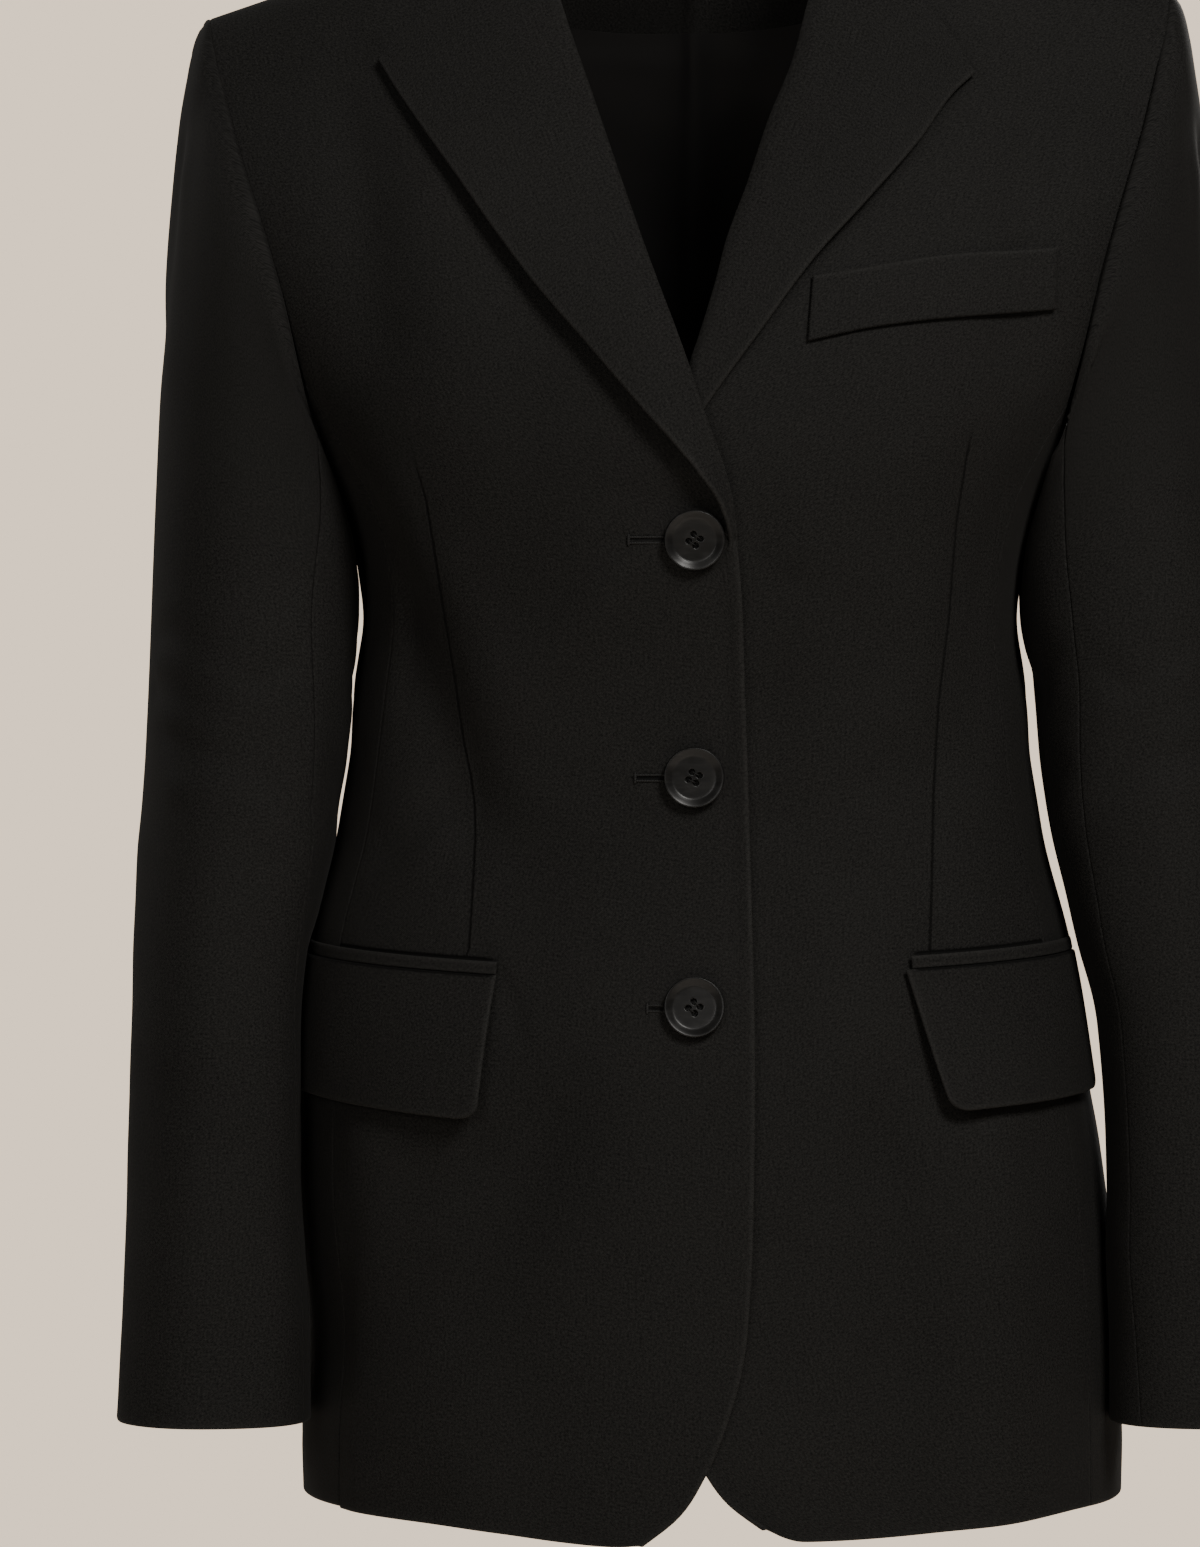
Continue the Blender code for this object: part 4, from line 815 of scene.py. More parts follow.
# Steps of the small pieces' grids. The lining takes the others' step this many times.
JET_STEP, FLAP_STEP, LAPEL_STEP, COLLAR_STEP, LINING_STEPS = 1.2, 1.3, 1.6, 1.8, 1.3

# A crease's width at its start and its growth, its fading past its ends in widths, the size and
# the length of its two waves, and the share and place of the bank beside it.
STROKE_START, STROKE_GROWS, STROKE_TAPER = 0.72, 0.38, 1.3
STROKE_WAVES = ((0.22, 17.0), (0.12, 7.3))
BANK_SHARE, BANK_OFF = 0.35, 1.9
# The slow sines of worn cloth: height, length across and along, and how much the seed turns it.
SWELLS = ((0.16, 31.0, 83.0, 1.0), (0.14, -59.0, 47.0, 2.1), (0.08, 17.0, 29.0, 3.7))
LAPEL_SWELL, FLAP_STILL = 0.6, 20.0  # its share on a lapel, and where a flap has none
PUCKER, PUCKER_FADE, PUCKER_START = 0.10, 4.0, 1.5  # height, fading and start beside a seam

# Creases of the right and the left front: x and z of both ends, half width, depth, bow.
CREASES_RIGHT = np.array([
    (-36, -286, -92, -322, 10, -0.9, 5), (-40, -300, -88, -352, 13, 0.7, 6),
    (-38, -392, -92, -372, 11, -0.7, -4), (-118, -404, -152, -424, 9, -1.1, 4),
    (-110, -428, -150, -440, 8, -0.7, 3), (-112, -384, -146, -398, 8, 0.6, 3),
    (-84, -466, -74, -494, 4, -0.9, 2), (-52, -500, -92, -560, 18, -0.9, 8),
    (-20, -560, -36, -690, 24, 1, 6), (-150, -58, -132, -112, 12, -0.9, 5),
    (-108, -130, -132, -250, 26, 1.1, 9), (-146, -268, -100, -388, 15, -4.2, 3),
    (-152, -88, -138, -190, 14, -1.6, 4), (-160, -596, -98, -546, 15, -2.2, 6),
    (-64, -548, -118, -690, 20, -1.4, -6), (-140, -540, -146, -690, 14, 1.6, 3),
])
CREASES_LEFT = np.array([
    (40, -300, 86, -330, 11, -0.7, 4), (36, -402, 84, -380, 12, -0.7, -4),
    (110, -404, 148, -430, 9, -0.9, 4), (112, -432, 146, -446, 8, -0.6, 3),
    (96, -250, 142, -212, 16, 0.8, 6), (150, -62, 134, -120, 12, -0.7, 5),
    (40, -560, 48, -690, 24, 1, 6), (78, -545, 86, -700, 18, -2.2, 5),
    (128, -540, 134, -700, 16, 1.8, 4), (28, -290, 32, -640, 19, -2, 3),
    (138, -262, 110, -372, 16, -1.6, -4), (152, -96, 140, -196, 14, -1.4, -4),
    (62, -420, 96, -455, 12, -0.9, 3),
])
# And of the backs, for one side: the other takes them mirrored and a little weaker.
CREASES_BACK = np.array([
    (168, -180, 96, -250, 16, -2, 10), (150, -150, 84, -196, 14, -1.3, 8),
    (140, -262, 70, -318, 15, -1.5, 7), (16, -322, 108, -304, 10, -1.4, 6),
    (12, -345, 96, -338, 9, -1, 4), (30, -372, 122, -356, 10, -0.9, 5),
    (74, -470, 80, -700, 24, 2.6, 6), (116, -500, 126, -700, 20, -2.4, 6),
    (36, -520, 34, -700, 22, -1.8, 5), (24, -60, 96, -74, 12, -0.9, 6),
])
CREASES_SIDE = np.array([
    (20, -300, -20, -330, 12, -1.1, 4), (22, -352, -24, -376, 12, -0.9, 5),
    (4, -500, 0, -700, 20, 1.8, 6),
])
# Creases of a sleeve: distance round from its outer line to the front, and up from the cuff.
CREASES_SLEEVE = np.array([
    (34, 322, 92, 296, 9, -1.1, 5), (44, 300, 98, 276, 8, -0.9, 4), (40, 346, 88, 330, 9, -0.8, 4),
    (52, 278, 96, 262, 9, 0.8, 3), (98, 322, 150, 340, 8, -1.2, 4),
    (-30, 330, -78, 356, 12, -1.1, 6), (-24, 296, -70, 300, 12, -0.8, 5),
    (14, 20, 8, 250, 17, 1.1, 6), (-30, 40, -26, 230, 20, -0.8, 6),
    (96, 556, 52, 480, 14, -1.5, 8), (70, 590, 30, 520, 12, -0.9, 6),
    (-62, 570, -40, 480, 14, -1.3, 8), (30, 150, 62, 120, 14, -0.7, 5),
])
ARM_RADIUS = 44.0

# The front darts, x and z from the top down to the pocket.
DART_RIGHT = np.array([
    (-122, -236), (-114, -264), (-110, -288), (-106, -312), (-101, -343), (-97.6, -370),
    (-94.9, -384), (-93.4, -396), (-93.2, -410), (-94.2, -430), (-95.8, -458),
])
DART_LEFT = np.array([
    (119, -233), (116, -246), (112, -274), (109, -316), (105, -351), (103, -393), (102, -427.5),
    (101, -458),
])
DART_VALLEY, DART_WIDTH, DART_FADE = -0.5, 4.0, 0.12  # the last is a share of its length
# A front edge: height, place and width of its rim, and depth, place and half width of its dip.
RIM_HEIGHT, RIM_IN, RIM_WIDTH = 0.5, 1.0, 1.6
DIP_DEPTH, DIP_IN, DIP_WIDTH = 1.3, 7.5, 4.5
DIP_HIGH, DIP_LOW, DIP_EASE = -286.0, -500.0, 40.0
FLAP_FLARE = 1.6  # a flap's lower edge stands off the front
LINE_FAR = 12.0  # a drawn line isn't followed further off than this
LINE_FADE = 0.03  # share of a painted dark line of shade that fades at each end
POCKET_LINE_OFF = 0.5  # a pocket's painted shade line lies this far outside its jet
JET_PLACES = 25

FACING = 78.0  # width of the wool facing inside a front edge
TURN_UP = 32.0  # wool turned up inside a hem or a cuff
NECK_FACING = 0.92  # share of the back's rows up to the neck's wool facing
LINING_CLOTH = 0.5
LINING_IN = 1.3  # the back's lining hangs this far inside
LINING_LOW, LINING_SPAN = 0.012, 0.98  # the part of the back's rows that it covers
PLEAT_WIDTH, PLEAT_DEPTH, PLEAT_TURN = 9.0, -2.2, 2.0  # the fold lies over to one side
PLEAT_FADES, PLEAT_FADE = -420.0, 150.0

BUTTON_RADIUS = 13.0
BUTTON_LEVELS = (-282.0, -383.5, -482.0)
BUTTON_TURNS = (10.0, 20.0, 5.0)
BUTTON_GAP = 0.1
SHANK_RADIUS = 2.1  # the thread wound between a button and its cloth
SHANK_ENDS, SHANK_PLACES = (-2.6, 0.5), 12
SHANK_WAVE, SHANK_TURNS = 0.06, 6.0  # its windings: share of the radius, and radians a millimetre
# A button's profile as in its solid, finer: share of its radius and height.
BUTTON_PROFILE = np.array([
    (0, 2.25), (0.25, 2.27), (0.5, 2.33), (0.66, 2.43), (0.72, 2.62), (0.78, 3.1), (0.84, 3.65),
    (0.9, 4.15), (0.94, 4.38), (0.97, 4.32), (0.992, 3.7), (1, 2.7), (0.985, 1.7), (0.92, 1.1),
    (0.75, 0.55), (0.4, 0.2), (0, 0),
])
BUTTON_SPREAD, BUTTON_ROUNDS = 9, 144  # its grid: rows for each of the profile's, and columns
HOLE_OFF, HOLE_RADIUS, HOLE_DEPTH = 2.5, 1.2, 2.0
HOLE_OUTER, HOLE_SLOPE = 1.15, 0.3  # a hole's rim and the width of its wall, in its radii
THREAD_RADIUS, CORD_SIDES = 0.28, 10
# A bar of thread over a button's face: its places, the height of its ends, its rise and how
# square its arch is.
BAR_PLACES, BAR_FOOT, BAR_RISE, BAR_ROUND = 21, 1.0, 1.75, 0.45
# The buttonholes: x of the tack, how far the stitching runs in under the button, and how far
# they lie below its middle.
HOLE_TACKS = (-27.5, -24.8, -19.8)
HOLE_END, HOLE_DROP = 4.0, 0.3
HOLE_HALF_HEIGHT = 1.25
STITCH_RADIUS = 0.54
STITCH_LIFT = 0.15
TACK_HALF, TACK_RADIUS = 2.5, 0.8
# The stitched slot: its places, the radius and the squareness of its ends, and its stitches.
SLOT_PLACES, SLOT_ROUND, SLOT_LONG, SLOT_SQUARE, SLOT_STITCHES = 340, 1.2, 1.35, 2.2, 52.0
TACK_PLACES, TACK_STITCHES = 41, 14.0

TWILL_SLANT = -62.0  # degrees
# The sewn lines in the wool: a dart's groove, also painted darker as shade, the ridges beside it
# and a painted dark line of shade along openings, with the half width of each in millimetres.
LINE_WIDTHS = (("dart", 0.55), ("dart", 2.2), ("open", 0.8))
# The camera: its sensor, its distance, and the height that it sees there.
SENSOR, CAMERA_FAR, SEEN_HEIGHT = 36.0, 2500.0, 688.4


def strokes(table, p, q):
    """Height of creases along bowed lines.

    Each is its depth times a bell across it, which fades past both ends; a sine of its own run
    makes it uneven along its length.
    """
    height = np.zeros(np.broadcast(p, q).shape)
    for *line, width, depth, bow in table:
        run, off, length, past = beside(line, p, q)
        share = np.clip(run / length, 0.0, 1.0)
        off = off - 4.0 * bow * share * (1.0 - share)
        wide = width * (STROKE_START + STROKE_GROWS * share)
        fade = (past / (STROKE_TAPER * width)) ** 2
        waves = (size * np.sin(run / wave + at) for (size, wave), at in zip(STROKE_WAVES, line))
        bell = np.exp(-((off / wide) ** 2) - fade)
        bank = BANK_SHARE * np.exp(-(((off - BANK_OFF * wide) / wide) ** 2) - fade)
        height += depth * sum(waves, 1.0) * (bell - bank)
    return height


def swell(p, q, seed):
    """The slow unevenness of worn cloth: sines of both directions, each turned by the seed."""
    return sum(size * np.sin(p / across + q / along + turn * seed)
               for size, across, along, turn in SWELLS)


def distance_to(line, x, z):
    """Distance in the plane from each place to a drawn line, with the side as its sign, and how
    far along it lies, 0 to 1."""
    nearest = np.full(x.shape, np.inf)
    share, side = np.zeros(x.shape), np.ones(x.shape)
    parts = len(line) - 1
    for k in range(parts):
        start, step = line[k], line[k + 1] - line[k]
        t = np.clip(((x - start[0]) * step[0] + (z - start[1]) * step[1]) / (step @ step), 0.0, 1.0)
        away = np.hypot(x - start[0] - t * step[0], z - start[1] - t * step[1])
        share = np.where(away < nearest, (k + t) / parts, share)
        turned = np.sign(step[0] * (z - start[1]) - step[1] * (x - start[0]))
        side = np.where(away < nearest, turned, side)
        nearest = np.minimum(nearest, away)
    return nearest * side, share


def even_shares(point_of, along_u, pitch):
    """Shares that step evenly along the middle line of a surface, closer near both its edges."""
    dense = np.linspace(0.0, 1.0, DENSE)
    half = np.full_like(dense, 0.5)
    length = run_along(point_of(dense, half) if along_u else point_of(half, dense))
    rim = np.array(RIM)
    count = max(2, round((length[-1] - 2.0 * rim[-1]) / pitch)) + 1
    inner = np.linspace(rim[-1], length[-1] - rim[-1], count)
    wanted = np.concatenate([rim[:-1], inner, length[-1] - rim[-2::-1]])
    return np.interp(wanted, length, dense)


def bullnose(distance, radius):
    """0 at an edge and 1 beyond its rounding, along a quarter circle."""
    t = np.clip(distance / radius, 0.0, 1.0)
    return np.sqrt(1.0 - (1.0 - t) ** 2)


def linked(name, data):
    """A new object of some data, in the scene."""
    piece = bpy.data.objects.new(name, data)
    bpy.context.scene.collection.objects.link(piece)
    return piece


def write_mesh(name, points, faces, finishes, slots=None, uv=None, fields=()):
    """A smooth mesh object at the origin, from points in millimetres and rows of corners."""
    mesh = bpy.data.meshes.new(name)
    mesh.from_pydata(points * METRES, [], faces)
    for finish in finishes:
        mesh.materials.append(finish_named(finish))
    if slots is not None:
        mesh.polygons.foreach_set("material_index", slots.astype(np.int32))
    if uv is not None:
        corner = np.empty(len(mesh.loops), np.int32)
        mesh.loops.foreach_get("vertex_index", corner)
        layer = mesh.uv_layers.new(name="cloth")
        layer.data.foreach_set("uv", (uv[corner] * METRES).astype(np.float32).ravel())
    for field, values in fields:
        made = mesh.attributes.new(field, "FLOAT", "POINT")
        made.data.foreach_set("value", values.astype(np.float32))
    mesh.shade_smooth()
    mesh.update()
    piece = linked(name, mesh)
    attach(piece, "root")
    return piece


def grid_normal(points, facing):
    """The unit normal of a grid of points, on the side that it faces."""
    return facing * unit(np.cross(np.gradient(points, axis=1), np.gradient(points, axis=0)))


def cloth_piece(name, point_of, pitch, thickness, finishes=("wool",), facing=1.0, seams="lrbt",
                relief=None, inside=None, line=None, top_reach=SEAM_REACH):
    """A closed cloth shell on a surface of u and v.

    Its outer and inner face lie half a thickness to both sides of the middle, times a quarter
    circle of the distance to each edge, so they meet along a rounded rim. relief(points, edges)
    moves both faces out, inside(points, edges) says where the inner face is lining, and
    line(points) gives each sewn line's name, the distance to it and its depth, which the wool
    paints darker as shade. An 'edge' field paints free edges paler as a highlight.
    """
    across, up = even_shares(point_of, True, pitch), even_shares(point_of, False, pitch)
    u, v = np.meshgrid(across, up)
    points = point_of(u.ravel(), v.ravel()).reshape(*u.shape, 3)
    for letter, edge, next_row in (
        ("l", np.s_[:, 0], np.s_[:, 1]), ("r", np.s_[:, -1], np.s_[:, -2]),
        ("b", np.s_[0], np.s_[1]), ("t", np.s_[-1], np.s_[-2]),
    ):
        if letter in seams:
            reach = top_reach if letter == "t" else SEAM_REACH
            points[edge] += unit(points[edge] - points[next_row]) * reach
    left, low = run_along(points, 1), run_along(points, 0)
    edges = {"l": left, "r": left[:, -1:] - left, "b": low, "t": low[-1:] - low}
    if relief:
        points = points + grid_normal(points, facing) * relief(points, edges)[..., None]
    full = np.ones(u.shape)
    for letter, distance in edges.items():
        full = full * bullnose(distance, SEAM_ROUND if letter in seams else EDGE_ROUND)
    normal = grid_normal(points, facing)
    outer, inner = (points + normal * (thickness * (0.5 + half * full))[..., None]
                    for half in (0.5, -0.5))

    middle = np.s_[1:-1, 1:-1]

    def both(above, below):
        """Values of the outer face, and then of the inner one within their shared rim."""
        pair = above, below[middle]
        return np.concatenate([rows.reshape(-1, *rows.shape[2:]) for rows in pair])

    index = np.arange(u.size).reshape(u.shape)
    under = index.copy()
    under[middle] = u.size + np.arange(index[middle].size).reshape(index[middle].shape)
    faces = []
    for grid, order in ((index, (0, 1, 2, 3)), (under, (3, 2, 1, 0))):
        corners = (grid[:-1, :-1], grid[:-1, 1:], grid[1:, 1:], grid[1:, :-1])
        order = order if facing > 0 else order[::-1]
        faces.append(np.stack([corners[k] for k in order], axis=-1).reshape(-1, 4))
    lined = np.zeros(u.shape, bool) if inside is None else inside(points, edges)
    slots = np.concatenate([np.zeros(len(faces[0]), int), lined[:-1, :-1].ravel().astype(int)])
    spread = np.stack([left, low], axis=-1)
    free = [distance for letter, distance in edges.items() if letter not in seams]
    # Painted highlight: the 'edge' field makes the wool paler along free edges, standing in for
    # light on the pressed rim.
    pressed = np.exp(-((np.min(free, axis=0) / EDGE_HIGHLIGHT_WIDTH) ** 2)) if free else np.zeros(u.shape)
    fields = [("edge", both(pressed, pressed))]
    for kind, off, depth in line(points) if line else ():
        fields += [(f"{kind}_{part}", both(values, 0.0 * values))
                   for part, values in (("off", off), ("depth", depth))]
    piece = write_mesh(name, both(outer, inner), np.concatenate(faces).tolist(), finishes, slots,
                       both(spread, spread), fields)

    sides = outer[1:, :-1] - outer[:-1, :-1], outer[:-1, 1:] - outer[:-1, :-1]
    area = np.linalg.norm(np.cross(*sides), axis=-1).sum()
    size = left[:, -1].max(), low[-1].max()
    cut = min(area, size[0] * size[1])
    return piece, (size[0] * METRES, size[1] * METRES), cut * METRES**2


def hang(made):
    """Gives back the piece from what cloth_piece made, without its flat size and area."""
    piece, flat, area = made
    return piece


def away_from_seams(edges, seams):
    """1 inside a piece, falling to 0 at each seam that is named."""
    share = 1.0
    for letter in seams:
        share = share * ease(edges[letter] / EDGE_FADE)
    return share


def below_row(points, share):
    """Whether a place is in the first rows of its grid, up to a share of them."""
    rows = np.arange(len(points))[:, None] < share * len(points)
    return np.broadcast_to(rows, points.shape[:2])


def puckers(edges, letter, seed):
    """The slight unevenness beside a sewn edge: a sine up along it that dies out beside it."""
    run = edges["b"]
    wave = np.sin(run / 2.3 + 1.7 * np.sin(run / 19.0 + seed)) * (0.6 + 0.4 * np.sin(run / 31.0))
    fade = np.exp(-edges[letter] / PUCKER_FADE) * ease(edges[letter] / PUCKER_START)
    return PUCKER * wave * fade


def creased(height, edges, faded, seed):
    """A panel's height, faded towards its seams, with the puckers of both its side seams."""
    height = height * away_from_seams(edges, faded)
    return height + puckers(edges, "l", seed) + puckers(edges, "r", seed + 1.0)


def above_turn_up(points, edges):
    """Where the inside is lined: above the wool that is turned up."""
    return edges["b"] > TURN_UP


def jet_edge(side, hand, at):
    """The drawn line along a jet's lower edge, at 0, or its upper edge, at 1."""
    u = np.linspace(0.0, 1.0, JET_PLACES)
    jet = strip_point(side, POCKETS[hand][0])(u, np.full_like(u, at))
    return jet[:, ::2] + np.array((0.0, (2.0 * at - 1.0) * POCKET_LINE_OFF))


def drawn_line(off, shown):
    """A line's distance and depth as a mesh keeps them, which end at the same distance."""
    return np.clip(off, -LINE_FAR, LINE_FAR), shown * (np.abs(off) < LINE_FAR)


def painted_shade_lines(points, drawn):
    """Painted shade: a dark line along the drawn openings of pockets and buttonholes, which lie
    further apart than a line is followed.
    """
    x, z = points[..., 0], points[..., 2]
    off, share = np.array([distance_to(line, x, z) for line in drawn]).swapaxes(0, 1)
    near = np.argmin(np.abs(off), axis=0)[None]
    off, share = (np.take_along_axis(values, near, axis=0)[0] for values in (off, share))
    return "open", *drawn_line(off, ease(share / LINE_FADE) * ease((1.0 - share) / LINE_FADE))


def edge_roll(distance, z):
    """A front edge's rounded rim, a bell of the distance to it, less a wider bell where the cloth
    dips beside it between the buttons."""
    rim = RIM_HEIGHT * np.exp(-(((distance - RIM_IN) / RIM_WIDTH) ** 2))
    between = ease((z - DIP_LOW) / (2.0 * DIP_EASE)) * ease((DIP_HIGH - z) / DIP_EASE)
    return rim - DIP_DEPTH * between * np.exp(-(((distance - DIP_IN) / DIP_WIDTH) ** 2))


# Finishes

def both_ways(operation):
    """The methods of a reading that stands before an operator, and of one behind it."""
    return (lambda self, other: self.maths(operation, self, other),
            lambda self, other: self.maths(operation, other, self))


class Reading:
    """A number that a socket gives. Sums, products and the rest add their Math nodes."""

    def __init__(self, finish, socket):
        self.finish, self.socket = finish, socket

    def maths(self, operation, *values):
        """Adds a Math node of these values."""
        sockets = dict(enumerate(values))
        return self.finish.node("ShaderNodeMath", {"operation": operation}, sockets)

    __add__, __radd__ = both_ways("ADD")
    __sub__, __rsub__ = both_ways("SUBTRACT")
    __mul__, __rmul__ = both_ways("MULTIPLY")
    __truediv__, __rtruediv__ = both_ways("DIVIDE")

    def __neg__(self):
        return self * -1.0

    def sine(self):
        """The sine of an angle in radians."""
        return self.maths("SINE", self)

    def bell(self):
        """e to the minus square."""
        return self.maths("EXPONENT", -(self * self))

    def kept(self):
        """The same, kept from 0 to 1."""
        return self.finish.node("ShaderNodeClamp", {}, {0: self})


class Nodes:
    """A node tree, with one method that adds any node."""

    def __init__(self, tree):
        self.tree = tree

    def node(self, kind, settings=None, sockets=None, out=0):
        """Adds a node: its settings first, then its sockets' values or links."""
        made = self.tree.nodes.new(kind)
        for key, value in (settings or {}).items():
            setattr(made, key, value)
        for key, value in (sockets or {}).items():
            self.feed(made.inputs[key], value)
        return None if out is None else Reading(self, made.outputs[out])

    def feed(self, entry, value):
        """Links a reading to a socket, or sets the socket's value."""
        if isinstance(value, Reading):
            self.tree.links.new(value.socket, entry)
        else:
            entry.default_value = value


class Finish(Nodes):
    """A material."""

    def __init__(self, name):
        self.material = bpy.data.materials.new(name)
        self.material.use_nodes = True
        super().__init__(self.material.node_tree)
        self.shader = self.tree.nodes["Principled BSDF"]

    def done(self, **values):
        """Feeds the shader and gives the material back."""
        for key, value in values.items():
            self.feed(self.shader.inputs[key.replace("_", " ")], value)
        return self.material

    def mix(self, share, colour, dark, pale):
        """A colour times a dark factor at 0, and times a pale one at 1."""
        ends = {k: (*(factor * c for c in colour), 1.0) for k, factor in ((6, dark), (7, pale))}
        return self.node("ShaderNodeMix", {"data_type": "RGBA"}, {0: share, **ends}, 2)

    def cloth_place(self, per_millimetre=(1.0, 1.0, 1.0), turn=0.0):
        """The piece's own lengthwise and crosswise place, scaled in steps a millimetre."""
        flat = self.node("ShaderNodeUVMap", {"uv_map": "cloth"})
        scale = [s / METRES for s in per_millimetre]
        return self.node("ShaderNodeMapping", {}, {
            "Vector": flat, "Scale": scale, "Rotation": (0.0, 0.0, turn),
        })

    def place(self):
        """The place in the room, in metres."""
        return self.node("ShaderNodeTexCoord", {}, {}, "Object")

    def noise(self, vector, scale, detail=2.0, roughness=0.5):
        """Cloudy unevenness, from 0 to 1."""
        return self.node("ShaderNodeTexNoise", {}, {
            "Vector": vector, "Scale": scale, "Detail": detail, "Roughness": roughness,
        })

    def part(self, vector, axis):
        """One of a vector's three parts."""
        return self.node("ShaderNodeSeparateXYZ", {}, {0: vector}, axis)

    def bump(self, height):
        """The normal of a height in millimetres."""
        return self.node("ShaderNodeBump", {}, {
            "Height": height, "Distance": METRES, "Strength": 1.0,
        })

    def field(self, name):
        """A value that the mesh keeps at its points."""
        return self.node("ShaderNodeAttribute", {"attribute_name": name}, {}, "Fac")


def wool_finish(cloth):
    """Fine twill: ribs at a steep slant, fuzz over them, a slow drift of shade, sewn lines, with
    painted shade in darts and openings and a painted highlight on free edges.
    """
    finish = Finish("black wool twill")
    across = cloth.twill_pitch / METRES
    flat = finish.cloth_place()
    run = finish.part(finish.cloth_place(turn=math.radians(TWILL_SLANT)), 0)
    wander = finish.noise(flat, 0.12, 2.0)
    rib = (run * (2.0 * math.pi / across) + wander * 9.0).sine() * 0.5 + 0.5
    fuzz = finish.noise(flat, 0.95, 3.0, 0.7)
    yarn = finish.noise(finish.cloth_place((1.1, 0.09, 1.0)), 1.0, 2.0)
    drift = finish.noise(finish.place(), 9.0, 3.0)
    dart, ridge, painted_gap_shade = (
        (finish.field(f"{kind}_off") / width).bell() * finish.field(f"{kind}_depth")
        for kind, width in LINE_WIDTHS
    )
    # Painted highlight: the 'edge' field pales the colour along free edges; its lower roughness is
    # the real gloss of a pressed edge.
    edge = finish.field("edge")
    height = rib * cloth.twill_relief + fuzz * 0.09 + yarn * 0.03
    height = height - dart * 0.5 + ridge * 0.12 - painted_gap_shade * 0.4
    shade = rib * 0.2 + fuzz * 2.5 + yarn * 0.35 + drift * 0.3 - 1.17
    # Painted light: darker in a dart's groove and along openings as shade, paler along free edges
    # as a highlight.
    shade = (shade - dart * 0.7 - painted_gap_shade * 1.1 + edge * 0.34).kept()
    return finish.done(
        Base_Color=finish.mix(shade, cloth.wool, 0.25, 1.75),
        Roughness=0.74 + fuzz * 0.16 - edge * 0.14,
        Specular_IOR_Level=cloth.gloss,
        Sheen_Weight=cloth.sheen,
        Sheen_Roughness=0.45,
        Sheen_Tint=(1.0, 0.97, 0.93, 1.0),
        Normal=finish.bump(height),
    )


def lining_finish(cloth):
    """Dark satin: long smooth floats with a soft gloss and a slow cloudiness."""
    finish = Finish("satin lining")
    floats = finish.noise(finish.cloth_place((2.2, 0.25, 1.0)), 1.0, 2.0)
    cloud = finish.noise(finish.cloth_place((0.02, 0.02, 1.0)), 1.0, 3.0)
    return finish.done(
        Base_Color=finish.mix((cloud * 0.7 + floats * 0.3).kept(), cloth.lining, 0.7, 1.3),
        Roughness=0.34 + cloud * 0.16,
        Specular_IOR_Level=0.45,
        Normal=finish.bump(floats * 0.02 + cloud * 0.35),
    )


def thread_finish(cloth):
    """Twisted buttonhole thread: slanting plies along its length."""
    finish = Finish("silk thread")
    flat = finish.cloth_place()
    plies = (finish.part(flat, 0) * 9.0 + finish.part(flat, 1) * 2.2).sine() * 0.5 + 0.5
    return finish.done(
        Base_Color=finish.mix(plies, cloth.wool, 0.4, 1.05),
        Roughness=0.6 + plies * 0.1,
        Specular_IOR_Level=0.22,
        Normal=finish.bump(plies * 0.08),
    )


def horn_finish(trim):
    """Polished imitation horn: dark, with cloudy streaks and fine scratches."""
    finish = Finish("imitation horn")
    place_in_room = finish.place()
    turned = finish.node("ShaderNodeMapping", {}, {
        "Vector": place_in_room, "Rotation": (0.3, 0.2, 0.7), "Scale": (90.0, 90.0, 420.0),
    })
    streaks = finish.noise(turned, 1.0, 4.0, 0.6)
    cloud = finish.noise(place_in_room, 170.0, 3.0)
    fine = finish.noise(place_in_room, 2600.0, 2.0)
    share = ((streaks - 0.45) * 3.0 + (cloud - 0.5) * 0.8).kept()
    return finish.done(
        Base_Color=finish.mix(share, trim.horn, 0.7, 1.7),
        Roughness=0.27 + cloud * 0.14 + fine * 0.08,
        Specular_IOR_Level=0.3,
        Normal=finish.bump(cloud * 0.02 + fine * 0.004),
    )


MAKERS = {
    "wool": (wool_finish, "blazer_cloth"), "lining": (lining_finish, "blazer_cloth"),
    "thread": (thread_finish, "blazer_cloth"), "horn": (horn_finish, "blazer_trim"),
}
FINISHES = {}
WOOL_AND_LINING = ("wool", "lining")


def finish_named(name):
    """Each finish is made once and shared by its pieces."""
    if name not in FINISHES:
        maker, settings = MAKERS[name]
        FINISHES[name] = maker(getattr(bpy.context.scene, settings))
    return FINISHES[name]


# Cords and turned pieces

